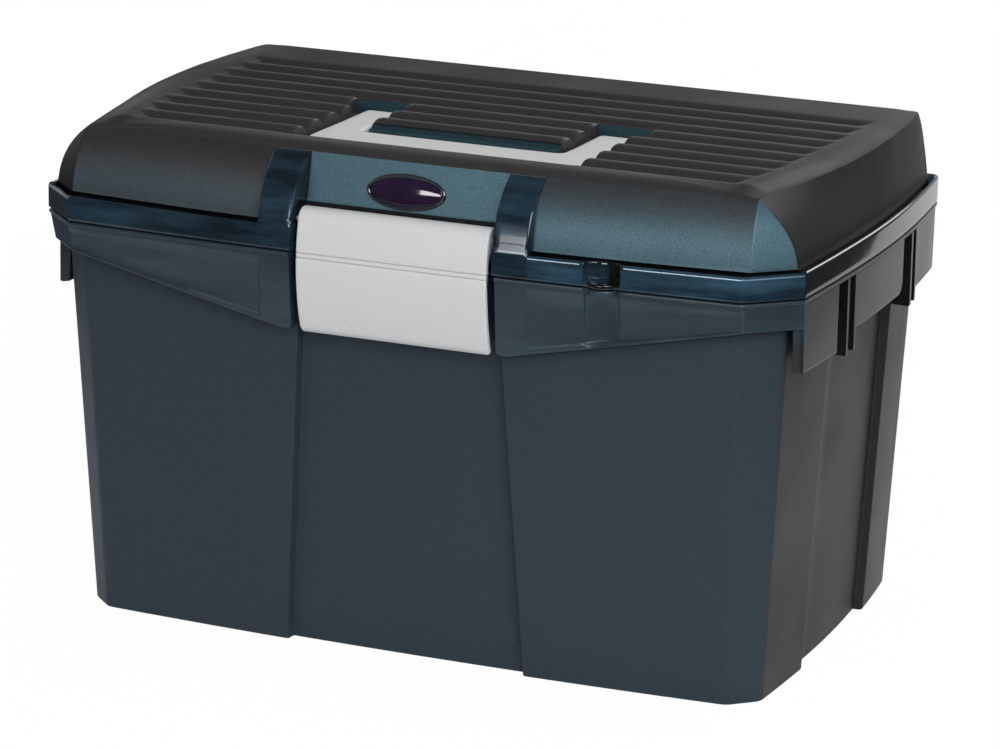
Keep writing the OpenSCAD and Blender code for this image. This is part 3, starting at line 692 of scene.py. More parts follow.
# Columns and rows crowd about edges, across a rib and round the scoop
NEAR_EDGE = [-0.45, -0.15, 0.15, 0.45]
EDGE_STEPS = [-1.0] + NEAR_EDGE + [1.1, 2.0]
RIB_STEPS = [-9.1, -7.4, -5.4, -3.4, -1.8, -0.7, -0.2, 0.2, 0.7, 1.8, 3.4, 5.4, 7.4]
SCOOP_X = [
    97.0, 97.82, 98.1, 98.7, 99.7, 101.2, 103, 105, 106.7, 108.4, 110.4, 112.2, 113.7, 114.7, 115.3, 115.58,
    116.4,
]
LID_X = spread(
    list(range(0, 43, 7)) + [47, 56, 60, 64, 67.5, 70.9, 85, 89, 93, 118],
    about([ISLAND_HALF], EDGE_STEPS[:-2]),
    [x for x, share in STRAP_INNER + STRAP_OUTER],
    about([RECESS_HALF, PIVOT_HALF], EDGE_STEPS),
    SCOOP_X,
    [120, 126, 132, 138, 143],
    [145 + 1.3 * i for i in range(20)],
    [171, 172, 173, 174, 175],
    least=0.14,
)
LID_Y = spread(
    [-97, -95.5, -94, -92, -90, -88, -86.2, -84.5],
    about([RIB_FRONT + RIB_PITCH * i for i in range(RIB_COUNT)], RIB_STEPS),
    about([RECESS_FRONT], NEAR_EDGE + [1.0]),
    about([ISLAND_FRONT], EDGE_STEPS[:-1]),
    about([PIVOT_FRONT], [-1.1] + NEAR_EDGE + [1.0]),
    about([RECESS_BACK], EDGE_STEPS),
    [77.7, 82, 86, 90, 94, 98, 102, 106, 109, 112, 114, 115, 116, 117],
    least=0.24,
)
LID_COLUMNS = Columns(LID_X, LID_Y)
# Inside of the lid: the pan below the handle's recess, the ceiling, and the housing of the latch pocket
PAN_FLOOR = 232.2
PAN_HALF = 87.0
PAN_FRONT = -86.0
PAN_BACK = 9.6
PAN_SLOPE = 1.2
CEILING = 242.0
HOUSING_HALF = 58.4
HOUSING_TOP = 226.9
SLOT_TOP = 220.0
INNER_ROWS = (212, 219.5, 220.5, 226.8, 227.1, 235, CEILING)


def lid_inner(z):
    """Level of the lid's inner face."""
    rise = clamp((z - DOME_LOW) / DOME_H)
    turn = math.asin(rise)

    def front(x):
        inset = dome_inset(turn) + LID_WALL
        if z < SLOT_TOP:
            inset = max(inset, RIM_FRONT[0][0])
        if abs(x) < HOUSING_HALF:
            inset = max(inset, centre_inset(min(z, CENTRE_TOP)) + LID_WALL)
            if z <= HOUSING_TOP:
                inset = POCKET_BACK + LID_WALL
        return inset, z

    def end(y):
        return end_inset(y, clamp((z - DOME_LOW) / (table(EDGE_Z, y) - DOME_LOW))) + LID_WALL, z

    back = lambda x: (BACK_FOOT + BACK_LEAN * rise + LID_WALL, z)
    facet = facet_inset(turn) + LID_WALL
    if z < SLOT_TOP:
        facet = max(facet, RIM_FACET[0][0])
    return Level(front, (facet, z), end, back, soft=(3, 1.5))


def ceiling_height(x, y, share, front_z):
    away = rect_distance(abs(x), y, -PAN_HALF, PAN_HALF, PAN_FRONT, PAN_BACK)
    return mix(PAN_FLOOR, CEILING, smooth(away / PAN_SLOPE + 0.5))


# Rings of the padlock eye in the lid and the tub
EYE_HOLE = 3.2
EYE_RIM = 7.75
EYE_Y = front_line(EYE_X, 4.4)
EYE_SOFT = 0.7
LID_EYE_TOP = LID_LOW + 2.4
TUB_EYE_LOW = 199.7


def soft_ends(low, high, soft, middle=0.3):
    """Places from low to high with what softened ends take off there; middle is the share halfway."""
    steps = [(0, soft), (soft * middle, soft * middle), (soft, 0)]
    return [(low + a, cut) for a, cut in steps] + [(high - a, cut) for a, cut in reversed(steps)]


def circle(count):
    return [2 * math.pi * i / count for i in range(count)]


def eye_ring(build, low, high, kind, tint):
    """Flat ring of the padlock eye."""
    ends = soft_ends(low, high, EYE_SOFT)
    profile = [(EYE_RIM - cut, z) for z, cut in ends] + [(EYE_HOLE + cut, z) for z, cut in reversed(ends)]
    rows = []
    for r, z in profile + profile[:1]:
        rows.append([[EYE_X + r * math.cos(t), EYE_Y + r * math.sin(t), z] for t in circle(48)])
    build.add(rows, kind, tint)


HINGE_Y = 131.0
HINGE_X = 110.0
KNUCKLE_R = 4.57
KNUCKLE_LEN = 20.0
KNUCKLE_GAP = 0.2
KNUCKLE_SOFT = 0.5
KNUCKLE_TURN = 265.0
# Where the webs that carry the knuckles start in the lid and the tub, and their gap to the split
LID_WEB = 121.0
TUB_WEB = 119.0
WEB_GAP = 0.4
PIN_HOLE = 2.05


def knuckle(build, centre, up, web_y, kind):
    """One hinge knuckle with its web; up is 1 for a lid's and -1 for a tub's."""
    outline = [(web_y, WEB_GAP * up)]
    outline += [(mix(web_y, HINGE_Y, i / 3), KNUCKLE_R * up) for i in range(4)]
    for i in range(1, 25):
        turn = up * math.radians(90 - KNUCKLE_TURN * i / 24)
        outline.append((HINGE_Y + KNUCKLE_R * math.cos(turn), KNUCKLE_R * math.sin(turn)))
    half = KNUCKLE_LEN / 2 - KNUCKLE_GAP

    def row(x, shrink, hole=False):
        points = []
        for y, z in outline:
            turn = math.atan2(z, y - HINGE_Y)
            far = PIN_HOLE if hole else math.hypot(z, y - HINGE_Y) - shrink
            points.append([x, HINGE_Y + far * math.cos(turn), SPLIT_Z + far * math.sin(turn)])
        return points

    rows = [row(x, cut) for x, cut in soft_ends(centre - half, centre + half, KNUCKLE_SOFT)]
    rows += [row(centre + half, 0, True), row(centre - half, 0, True)]
    build.add(rows + rows[:1], kind)


GRAIN, GLOSS, SATIN = 0, 1, 2
# Tints of the grain run from blue at 0 over grey at 1 and charcoal at 2 to the recess's dark teal walls at 3,
# those of the gloss from blue at 0 over the colour of its ends at 1 to black at 2. The lid is one plastic, so
# these
# tints paint its light and shade: blue is painted light on faces turned to the front lamps, grey and charcoal
# painted shade on the top and the ends, black painted shade in hollows and on the ends, the teal walls
# painted light
BLUE, GREY, DARK = 0.0, 1.0, 2.0
# Painted shade: the straps' gloss darker than the rim's
STRAP_TINT = 0.45
# Painted shade: the rim is darker on the left
RIM_LEFT = 0.5
# Painted shade: the left facet near black
LEFT_FACET_TINT = 1.8
INNER_TINT = 0.7
BACK_TINT = 0.55
LEFT_END_TINT = 1.1
# Painted reflection: the tub's left end takes part of the grey painted on its ends
TUB_LEFT_TINT = 0.6
# Tints of the right and the left panel at their foot, and what their painted shade adds towards their top:
# the panels are painted greyer where they turn up from the front lamps, and the left panel darker than the
# right, as shade
PANEL_TINT = 0.08
PANEL_PAINTED_SHADE = 0.75
LEFT_TINT = 0.68
LEFT_PAINTED_SHADE = 0.5
SHADE_FROM = 0.15
SHADE_SPAN = 0.5
# Painted shade: the scoop darkens from left to right, where its right wall lies in shade
SCOOP_TINT = 0.5
SCOOP_DARK_X = EYE_X + 1
SCOOP_DARK_W = 4.0
# Tints of the ribbed top and of the border round it, beyond the ends of the ribs and behind the last one:
# painted shade, grey on the top and darker on the border
TOP_TINT = 1.1
BORDER_TINT = 1.5
BORDER_SOFT = 3.0
RIB_BACK = 77.0
# Tint of the recess's walls, teal painted light on walls that lie in shade, and where it is put: span in y of
# the front and the back one, depth below the top
WALL_PAINTED_LIGHT_TINT = 3.0
FRONT_WALL = (ISLAND_FRONT - 0.7, ISLAND_FRONT + 3.6)
FRONT_WALL_DEEP = 1.8
BACK_WALL = (RECESS_BACK - 0.6, RECESS_BACK + 0.6)
BACK_WALL_DEEP = 0.5


def loop_part(columns, c):
    """Which stretch of a level a column of its loop lies on, and its place along that stretch."""
    front = len(columns.xs)
    corner = 2 * columns.ARC + columns.FACET - 1
    end = len(columns.ys)
    total = front + corner + end + front - 1
    if c >= total:
        c = 2 * total - 2 - c
    for name, count in (("front", front), ("corner", corner), ("end", end)):
        if c < count:
            return name, c
        c -= count
    return "back", c


def make_lid(materials):
    build = Build()
    rim = len(RIM_FRONT)
    levels = [rim_level(k) for k in range(rim)]
    levels += [dome_level(t) for t in DOME_SHARES]
    rows = [level.loop(LID_COLUMNS) for level in levels]
    guide = rows[rim]
    parts = [loop_part(LID_COLUMNS, c) for c in range(len(guide))]
    groove = rim + DOME_SHARES.index(GROOVE_SHARE)

    def kind(r, c):
        flat = abs(guide[c][0] + guide[(c + 1) % len(guide)][0]) / 2
        front = parts[c][0] == "front"
        if front and STRAP_IN < flat < STRAP_OUT:
            if r >= groove:
                return GRAIN
            return SATIN if r >= GUTTER_ROW else GLOSS
        in_pocket = front and flat < STRAP_IN and r >= POCKET_ROW
        return GRAIN if r >= PANEL_ROW or in_pocket else GLOSS

    def tint(r, c):
        part, place = parts[c]
        flat = abs(guide[c][0])
        left = guide[c][0] < 0
        if part == "back":
            return BACK_TINT if r >= rim - 1 else BLUE
        # Painted shade: the left end's rim takes the rim's darker left tint
        if part == "end" and left:
            return LEFT_END_TINT if r >= rim - 1 else RIM_LEFT
        # Painted shade: the right end and the end side of each corner turn charcoal on the grain and black on
        # the gloss
        if part == "end" or (part == "corner" and place > LID_COLUMNS.CRISP):
            return DARK
        # Painted shade: the straps' gloss darkened, their inner side black
        if part == "front" and STRAP_IN <= flat < STRAP_OUT and r <= groove:
            return DARK if flat == STRAP_IN else STRAP_TINT
        # Painted shade: the scoop darker towards its right wall
        if part == "front" and SCOOP_ROWS[0] <= r < GUTTER_ROW and scoop(guide[c][0]):
            return SCOOP_TINT + DARK * smooth((guide[c][0] - SCOOP_DARK_X) / SCOOP_DARK_W)
        # Painted shade: the gutter under the panels black
        if GUTTER_ROW <= r < rim - 1:
            return DARK
        # Painted shade: the rim darker on the left than on the right
        if r < rim - 1:
            return RIM_LEFT if left else BLUE
        # Painted shade: the left facet near black, the right one blue
        if part == "corner":
            return LEFT_FACET_TINT if left else BLUE
        t = DOME_SHARES[max(r - rim, 0)]
        # Painted shade: the top rows of the rounded front grey
        if t >= EDGE_SHARE:
            return GREY
        if flat < STRAP_IN:
            return BLUE
        # Painted shade: the panels turn grey towards their top, the left one more
        shade = smooth((t - SHADE_FROM) / SHADE_SPAN)
        return LEFT_TINT + LEFT_PAINTED_SHADE * shade if left else PANEL_TINT + PANEL_PAINTED_SHADE * shade

    build.add(rows, kind, tint)
    top = dome_level(1.0)
    sheet = cover(LID_COLUMNS, top, top_height)

    def top_tint(r, c):
        x, y, z = sheet[r][c]
        front_wall = FRONT_WALL[0] < y < FRONT_WALL[1] and abs(x) < ISLAND_HALF
        back_wall = BACK_WALL[0] < y < BACK_WALL[1] and ISLAND_HALF < abs(x) < PIVOT_HALF
        deep = TOP_Z - z
        # Painted light: the recess walls that face the front turn teal
        if (front_wall and deep > FRONT_WALL_DEEP) or (back_wall and deep > BACK_WALL_DEEP):
            return WALL_PAINTED_LIGHT_TINT
        # Painted shade: grey on the ribbed top, darker on its border
        beyond = max(abs(x) - table(RIB_ENDS, y), y - RIB_BACK)
        return mix(TOP_TINT, BORDER_TINT, smooth((beyond + BORDER_SOFT) / (2 * BORDER_SOFT)))

    build.add(sheet, GRAIN, top_tint, closed=False)
    inner = [rows[0]] + [lid_inner(z).loop(LID_COLUMNS) for z in INNER_ROWS]
    ceiling = cover(LID_COLUMNS, lid_inner(CEILING), ceiling_height)
    build.add(inner, GRAIN, INNER_TINT)
    build.add(ceiling, GRAIN, INNER_TINT, closed=False)
    # Painted shade: the lid's eye ring black
    eye_ring(build, LID_LOW, LID_EYE_TOP, SATIN, DARK)
    for side in (-1, 1):
        knuckle(build, side * HINGE_X, 1, LID_WEB, GLOSS)
    return build.make("lid_moulding", materials)


# Tub

TUB_WALL = 2.6
FLOOR_T = 3.0
# Depth of the sunk panels in the front and the ends, and the span in y of the ends'
FRONT_SINK = 5.6
END_SINK = 4.5
END_PANEL = (-34.0, 66.0)
# Belt under the rim: its lower edge beside the latch and at the corners, its top, insets, thickness and gap
BELT_LOW = 162.0
BELT_CORNER = 187.5
BELT_TOP = 199.7
BELT_SET = 1.1
END_SET = 0.8
BELT_WALL = 2.8
BELT_GAP = 53.4
GAP_LIMIT = BELT_GAP - 0.05
GAP_INSET = 9.8
# Column of the front panel's edge before it is shifted, and where the shift ends
PANEL_NOMINAL = 58.0
WARP_END = 95.0
# Insets of the walls at the floor and at the split; half the front panel's width at the floor and at the belt
FRONT_WALL_SET = (21.5, 8.6)
END_WALL_SET = (19.5, 9.0)
BACK_WALL_SET = (8.0, 5.0)
FRONT_PANEL = (63.0, 53.0)
FRONT_PANEL_MOST = 1.1


def wall_set(insets, z):
    return mix(*insets, z / SPLIT_Z)


def warp_to(half):
    """Shifts columns so that the one at PANEL_NOMINAL comes to lie at half."""
    def warp(xs):
        out = []
        for x in xs:
            if x <= PANEL_NOMINAL:
                out.append(x * half / PANEL_NOMINAL)
            elif x < WARP_END:
                out.append(half + (x - PANEL_NOMINAL) * (WARP_END - half) / (WARP_END - PANEL_NOMINAL))
            else:
                out.append(x)
        return out
    return warp


# Steps at the edges of the sunk panels: distance from the edge, share of the panel's depth
FRONT_STEP = [(-1.3, 1), (-0.65, 0.97), (-0.22, 0.85), (0, 0.12), (0.32, 0.02), (0.9, 0)]
END_STEP_FRONT = [(-0.6, 0), (-0.1, 0.04), (0.3, 0.22), (6, 0.6), (14, 1)]
END_STEP_BACK = [(-1.0, 1), (-0.5, 0.97), (-0.1, 0.85), (0.3, 0.05), (0.8, 0)]


def end_sink(y):
    """How far the sunk panel of an end lies behind its wall at y."""
    return END_SINK * min(table(END_STEP_FRONT, y - END_PANEL[0]), table(END_STEP_BACK, y - END_PANEL[1]))


def wall_level(z, extra=0.0):
    """Level of the tub's wall, moved in by extra."""
    half = mix(*FRONT_PANEL, clamp(z / BELT_LOW, 0, FRONT_PANEL_MOST))
    face = wall_set(FRONT_WALL_SET, z) + extra
    front = lambda x: (face + FRONT_SINK * table(FRONT_STEP, abs(x) - half), z)
    end = lambda y: (wall_set(END_WALL_SET, z) + extra + end_sink(y), z)
    back = lambda x: (wall_set(BACK_WALL_SET, z) + extra, z)
    return Level(front, (face, z), end, back, soft=(2.6, 2.6), warp=warp_to(half))


# Belt along the ends: back limit of each stretch, its lower edge, and what it is
BLOCK, RIB, PLATE, SLOT = "block", "rib", "plate", "slot"
SLOT_LOW = 199.2
END_BELT = [
    (-53.0, 166.0, BLOCK), (-40.6, SLOT_LOW, SLOT), (-38.0, 161.5, RIB), (-30.2, SLOT_LOW, SLOT),
    (-28.0, 162.0, RIB), (47.0, 172.5, PLATE), (63.3, SLOT_LOW, SLOT), (66.4, 161.5, RIB),
    (73.0, SLOT_LOW, SLOT), (75.0, 162.0, RIB), (200.0, 168.5, PLATE),
]
PLATE_BACK = 47.0
PLATE_ROUND = 6.0
BLOCK_DEEP = 5.0
RIB_ROOT = 0.4
# Lean of the belt's face, rounding of its lower corners beside the latch, and where its cheeks there end
BELT_LEAN = 3.5
GAP_ROUND = 3.0
GAP_ROUND_W = 5.0
CHEEK_X = 56.0
CHEEK_SHARE = 0.6
# Shallow field in the belt's front: where it starts, its depth, and its edges as shares of the belt's height
FIELD_X = 69.7
FIELD_W = 0.6
FIELD_SINK = 0.7
FIELD_TOP = 0.08
FIELD_LOW = 0.93
FIELD_SOFT = 0.05
# The scoop's depth in the belt, and how it runs out downwards
BELT_SCOOP = 0.42
BELT_SCOOP_POWER = 0.7
BACK_BELT_LOW = 171.0
BACK_BELT_SET = 4.0
# Shares of the belt's depth that its gap and its back have
GAP_DEPTH = 0.3
BACK_DEPTH = 0.2
# The left end's first block starts further back, hangs lower, and the belt before it leans in
LEFT_BLOCK = -88.0
LEFT_LEAN = 4.0
LEFT_LOWER = 3.5


def end_belt(y):
    """Lower edge of the belt of an end at y, and what stands there."""
    for limit, low, what in END_BELT:
        if y < limit:
            break
    if what == PLATE and y < PLATE_BACK:
        low += PLATE_ROUND * quarter_round(1 - (PLATE_BACK - y) / PLATE_ROUND)
    return low, what


def belt_inset(z):
    return BELT_SET + BELT_LEAN * (BELT_TOP - z) / (BELT_TOP - BELT_LOW)


def in_gap(x):
    """Whether x lies in the belt's gap behind the latch."""
    return abs(x) < GAP_LIMIT


def front_belt_low(x):
    if in_gap(x):
        return SLOT_LOW
    beyond = abs(x) - BELT_GAP
    corner = GAP_ROUND * quarter_round(1 - beyond / GAP_ROUND_W)
    return mix(BELT_LOW, BELT_CORNER, beyond / (CREASE_X - BELT_GAP)) + corner


def field_sink(x, share):
    edges = smooth((share - FIELD_TOP) / FIELD_SOFT) * smooth((FIELD_LOW - share) / FIELD_SOFT)
    return FIELD_SINK * smooth((abs(x) - FIELD_X) / FIELD_W) * edges


def belt_level(share, depth, lift=0.0):
    """One row of the belt: share runs from 0 at its top to 1 at its lower edge, depth in from its face."""
    at_wall = depth == BELT_WALL

    def height(low):
        return mix(BELT_TOP, low, share) + lift

    def front(x):
        z = height(front_belt_low(x))
        if in_gap(x):
            return GAP_INSET + depth * GAP_DEPTH, z
        inset = belt_inset(z)
        deep = depth
        if at_wall and abs(x) < CHEEK_X:
            deep = wall_set(FRONT_WALL_SET, z) - inset + FRONT_SINK * CHEEK_SHARE
        cut = BELT_SCOOP * scoop(x) * (1 - share) ** BELT_SCOOP_POWER
        return inset + deep + field_sink(x, share) + cut, z

    def end(y):
        low, what = end_belt(y)
        z = height(low)
        deep = depth
        if at_wall and what == BLOCK:
            deep = BLOCK_DEEP
        if at_wall and what == RIB:
            deep = wall_set(END_WALL_SET, z) + end_sink(y) - END_SET + RIB_ROOT
        return END_SET + deep, z

    def left_end(y):
        if y < LEFT_BLOCK:
            return END_SET + LEFT_LEAN * share + depth, height(BELT_CORNER)
        inset, z = end(y)
        if y < END_BELT[0][0]:
            z -= LEFT_LOWER * share
        return inset, z

    def back(x):
        z = height(BACK_BELT_LOW)
        return min(belt_inset(z) + depth, BACK_BELT_SET + depth * BACK_DEPTH), z

    z = height(BELT_CORNER)
    place = (belt_inset(z) + depth, z)
    return Level(front, place, end, back, soft=(1.2, 0.6), warp=warp_to(BELT_GAP), left_end=left_end)


# Section of the lip on top of the belt, under the lid's rim
FLANGE = [
    (0.85, 199.9), (0.35, 200.15), (0.14, 200.5), (0.1, 200.9), (0.1, 201.3), (0.3, 201.7), (0.9, 201.9),
    (3.2, 201.95), (3.8, SPLIT_Z),
]


def flange_level(inset, z):
    front = lambda x: (inset + (GAP_INSET if in_gap(x) else BELT_SCOOP * scoop(x)), z)
    side = lambda v: (inset, z)
    return Level(front, (inset, z), side, side, soft=(1.6, 1.2), warp=warp_to(BELT_GAP))


TUB_X = spread(
    [0, 14, 28, 40, 48, 53, 55.5, 56.8, 57.4, 57.8, 58.0, 58.3, 58.9, 59.6, 60.5, 61.6, 63, 66, 70],
    [72.2, 72.5, 72.76, 73.05, 73.5, 78, 84, 90, 95],
    SCOOP_X,
    [120, 130, 140, 150, 158, 164, 168, 171, 173, 174.2, 175],
    least=0.14,
)
TUB_Y = spread(
    [-97, -96.4, -95, -92, -89, -88.12, -87.88, -87, -84.5, -78, -72, -66, -60, -57],
    about([s[0] for s in END_BELT[:-1]], [-0.7, -0.12, 0.12, 0.7]),
    [-47, -44, -36, -34.6, -34.1, -33.7, -20, -14, -8, 0, 8, 16, 24, 32, 37, 40, 41.5, 43, 44.5, 45.5],
    about([END_PANEL[1]], [-1.0, -0.5, -0.1, 0.3, 0.8]),
    [70, 78, 86, 94, 102, 109, 113, 114, 115, 116, 117],
    least=0.2,
)
TUB_COLUMNS = Columns(TUB_X, TUB_Y)
BOX_SOFT = 0.8
BOX_CORNER = 0.9 * BOX_SOFT


def bevel_box(build, x_span, y_span, z_span, kind):
    """Block with softened edges."""
    rows = []
    for z, cut in soft_ends(*z_span, BOX_SOFT):
        a, b = x_span[0] + cut, x_span[1] - cut
        c, d = y_span[0] + cut, y_span[1] - cut
        s = BOX_CORNER
        rows.append([
            [a + s, c, z], [b - s, c, z], [b, c + s, z], [b, d - s, z],
            [b - s, d, z], [a + s, d, z], [a, d - s, z], [a, c + s, z],
        ])
    build.add(rows, kind, cap_ends=True)


# Catch behind the latch, under which the latch's ridge sits
CATCH_X = (-36, 36)
CATCH_Y = (-117.2, -109.0)
CATCH_Z = (173, 178)
# Ledges that carry the tray
LEDGE_Y = (-27.0, 60.0)
LEDGE_Z = (142.0, 147.9)
LEDGE_IN = 159.0
LEDGE_SOFT = 0.8
LEDGE_MIDDLE = 0.3125
LEDGE_ROOT = 1.2


def tray_ledge(build, side, kind):
    """Ledge inside one end, which runs into the wall behind it."""
    low, high = LEDGE_Z
    steps = soft_ends(*LEDGE_Y, LEDGE_SOFT, LEDGE_MIDDLE)
    steps += [(mix(*LEDGE_Y, i / 8), 0.0) for i in range(1, 8)]
    sections = []
    for y, cut in sorted(steps):
        root = end_line(y, wall_set(END_WALL_SET, high) + end_sink(y) + TUB_WALL) + LEDGE_ROOT
        edges = soft_ends(low + cut, high - cut, LEDGE_SOFT, LEDGE_MIDDLE)
        face = [(LEDGE_IN + cut + more, z) for z, more in edges]
        outline = [(root, low + cut)] + face + [(root, high - cut)]
        sections.append([[side * x, y, z] for x, z in outline])
    build.add(sections, kind, cap_ends=True)


# Rows of the tub: the rounded foot as (z, extra inset), the walls, the belt from behind round its lower edge
# as (share, depth, lift) and up its face, and the inner walls
FOOT_ROWS = [(0, 2.4), (0, 1.1), (0.35, 0.35), (1.1, 0)]
WALL_ROWS = (20, 45, 70, 95, 120, 140, 152, 160, 166, 172, 180, 188, 193, 196.8)
WALL_TOP = (197.7, -0.6)
BELT_EDGE = [
    (0, BELT_WALL, 0), (0.5, BELT_WALL, 0), (1, BELT_WALL, 0.5), (1, BELT_WALL - 0.5, 0), (1, 0.6, 0),
    (1, 0.15, 0.25), (1, 0, 0.7),
]
BELT_SHARES = (0.95, 0.92, 0.89, 0.86, 0.7, 0.5, 0.3, 0.14, 0.11, 0.08, 0.04, 0)
INNER_WALL_ROWS = (SPLIT_Z, 201, 196, 188, 175, 160, 148, 120, 90, 60, 30, 8, 4.4, FLOOR_T + 0.4)
FLOOR_ROUND = 1.2


def make_tub(materials):
    build = Build()
    levels = [wall_level(*place) for place in FOOT_ROWS]
    levels += [wall_level(z) for z in WALL_ROWS]
    walls = len(levels)
    levels.append(wall_level(*WALL_TOP))
    levels += [belt_level(*place) for place in BELT_EDGE]
    levels += [belt_level(share, 0) for share in BELT_SHARES]
    belt_last = len(levels)
    levels += [flange_level(*place) for place in FLANGE]
    last_outer = len(levels)
    levels += [wall_level(z, TUB_WALL) for z in INNER_WALL_ROWS]
    levels.append(wall_level(FLOOR_T, FLOOR_ROUND + TUB_WALL))
    rows = [level.loop(TUB_COLUMNS) for level in levels]
    parts = [loop_part(TUB_COLUMNS, c) for c in range(len(rows[0]))]

    def flank(c):
        """Whether the faces after column c close the side of a rib, a plate or the left end's block."""
        after = (c + 1) % len(parts)
        if parts[c][0] != "end" or parts[after][0] != "end":
            return False
        a, b = (TUB_COLUMNS.ys[parts[i][1]] for i in (c, after))
        if rows[0][c][0] < 0 and min(a, b) < LEFT_BLOCK < max(a, b):
            return True
        return (end_belt(a)[1] == SLOT) != (end_belt(b)[1] == SLOT)

    flanks = [flank(c) for c in range(len(parts))]

    # Painted shade: the sides of the belt's ribs, plates and the left end's block get a dark material
    def kind(r, c):
        if not walls <= r < last_outer:
            return GRAIN
        return SATIN if flanks[c] and r < belt_last else GLOSS

    def tint(r, c):
        part, place = parts[c]
        # Painted reflection: the ends and the end of each corner turn grey, the left end partly
        if part == "end" and rows[0][c][0] < 0:
            return TUB_LEFT_TINT
        return GREY if part == "end" or (part == "corner" and place > TUB_COLUMNS.CRISP) else BLUE

    build.add(rows, kind, tint)
    underside = cover(TUB_COLUMNS, levels[0], lambda x, y, share, z: 0.0)
    floor = cover(TUB_COLUMNS, levels[-1], lambda x, y, share, z: FLOOR_T)
    build.add(underside, GRAIN, closed=False)
    build.add(floor, GRAIN, closed=False)
    eye_ring(build, TUB_EYE_LOW, SPLIT_Z, GLOSS, BLUE)
    for side in (-1, 1):
        for end in (-1, 1):
            knuckle(build, side * HINGE_X + end * KNUCKLE_LEN, -1, TUB_WEB, GLOSS)
        tray_ledge(build, side, GRAIN)
    bevel_box(build, CATCH_X, CATCH_Y, CATCH_Z, GRAIN)
    return build.make("tub_moulding", materials)


# Latch

LATCH_HALF = 49.4
LATCH_Y = -116.5
LATCH_Z = 217.0
ROLL_R = 6.5
FLAP_LONG = 55.0
FLAP_T = 3.4
FLAP_CORNER = 1.9
# The flap's face leans out and curves back in towards its foot
FLAP_LEAN = 11.5
FLAP_CURVE = 15.5
FOOT_FLAT = 0.9
# The flap's seam, and the section of the groove on either side of it: share of the flap's length, depth
SEAM_Z = 201.0
SEAM_SHARE = (LATCH_Z - SEAM_Z) / FLAP_LONG
SEAM_DEEP = 0.02
GROOVE = [(0.031, 0), (0.026, 0.1), (0.021, 0.75), (0.015, 0.12)]
# Rows of the flap as shares of its length: the face above and below the seam, and the back
FACE_ABOVE = (0.04, 0.09, 0.14, 0.19, 0.23)
FACE_BELOW = (0.36, 0.43, 0.5, 0.6, 0.7, 0.8, 0.88, 0.94, 0.97)
FLAP_BACK = (0.95, 0.9, 0.8, 0.7, 0.6, 0.5, 0.4, 0.3, 0.2)
# Hollow between the flap's back and the roll
HOLLOW = [(-120.2, 209.3), (-119.4, 210.3), (-118.4, 210.7), (-117.4, 210.56)]
# Ends of the latch: distance from the end, what the rounding takes off there
LATCH_ENDS = [(0, 0.95), (0.08, 0.55), (0.28, 0.24), (0.6, 0.06)]
LATCH_ENDS += [(d, 0) for d in (1, 1.4, 1.9, 4.5, 9)]
LATCH_X = (-32, -22, -11, 0, 11, 22, 32)
# Ridge on the flap's back, which sits under the catch
RIDGE_X = (-34, 34)
RIDGE_Y = (-120.4, -117.67)
RIDGE_Z = (169, 173)


def flap_face(s):
    return LATCH_Y - ROLL_R - FLAP_LEAN * s + FLAP_CURVE * s * s, LATCH_Z - FLAP_LONG * s


def on_roll(degrees):
    turn = math.radians(degrees)
    return LATCH_Y + ROLL_R * math.cos(turn), LATCH_Z + ROLL_R * math.sin(turn)


def latch_outline(reach):
    """Section of the latch; reach is the share of the flap's full length."""

    def flap(s, deep):
        y, z = flap_face(s if s < 0.5 else mix(0.5, reach, 2 * s - 1))
        return y + deep, z

    points = [on_roll(-50 + 230 * i / 24) for i in range(25)]
    points += [flap(s, 0.0) for s in FACE_ABOVE]
    points += [flap(SEAM_SHARE - d, deep) for d, deep in GROOVE]
    points.append(flap(SEAM_SHARE, SEAM_DEEP))
    points += [flap(SEAM_SHARE + d, deep) for d, deep in reversed(GROOVE)]
    points += [flap(s, 0.0) for s in FACE_BELOW]
    low_y, low_z = flap_face(reach)
    half = FLAP_T / 2
    for i in range(1, 10):
        turn = math.radians(180 + 180 * i / 10)
        rise = half * FOOT_FLAT * (1 + math.sin(turn))
        points.append((low_y + half + half * math.cos(turn), low_z + rise))
    points += [flap(s, FLAP_T) for s in FLAP_BACK]
    points += HOLLOW
    points += [on_roll(270 + 40 * i / 5) for i in range(1, 5)]
    return points


def shrink_outline(points, by):
    """The closed outline, moved in by the same amount everywhere."""
    out = []
    count = len(points)
    for i, p in enumerate(points):
        a = points[i - 1]
        b = points[(i + 1) % count]
        dx, dy = b[0] - a[0], b[1] - a[1]
        size = math.hypot(dx, dy) or 1.0
        out.append((p[0] - dy / size * by, p[1] + dx / size * by))
    return out


def make_latch(materials):
    build = Build()
    rows = []
    places = [(-LATCH_HALF + d, by) for d, by in LATCH_ENDS]
    places += [(x, 0) for x in LATCH_X]
    places += [(LATCH_HALF - d, by) for d, by in reversed(LATCH_ENDS)]
    for x, by in places:
        lift = FLAP_CORNER * quarter_round(1 - (LATCH_HALF - abs(x)) / FLAP_CORNER)
        outline = shrink_outline(latch_outline(1 - lift / FLAP_LONG), by)
        rows.append([[x, y, z] for y, z in outline])
    build.add(rows, 0, cap_ends=True)
    bevel_box(build, RIDGE_X, RIDGE_Y, RIDGE_Z, 0)
    return build.make("latch_flap", materials, sharp=40)


# Handle

HANDLE_HALF = 72.0
ARM_W = 18.5
BAR_FRONT = -72.0
BAR_D = 27.0
PIVOT_Y = -0.5
PIVOT_Z = 240.8
HANDLE_T = 9.6
OUT_R = 8.0
IN_R = 4.0
ARM_Y = (PIVOT_Y, -8, -16, -24, -32)
ARM_CLEAR = 1.5
BAR_X = (-36, -24, -12, 0, 12, 24, 36)
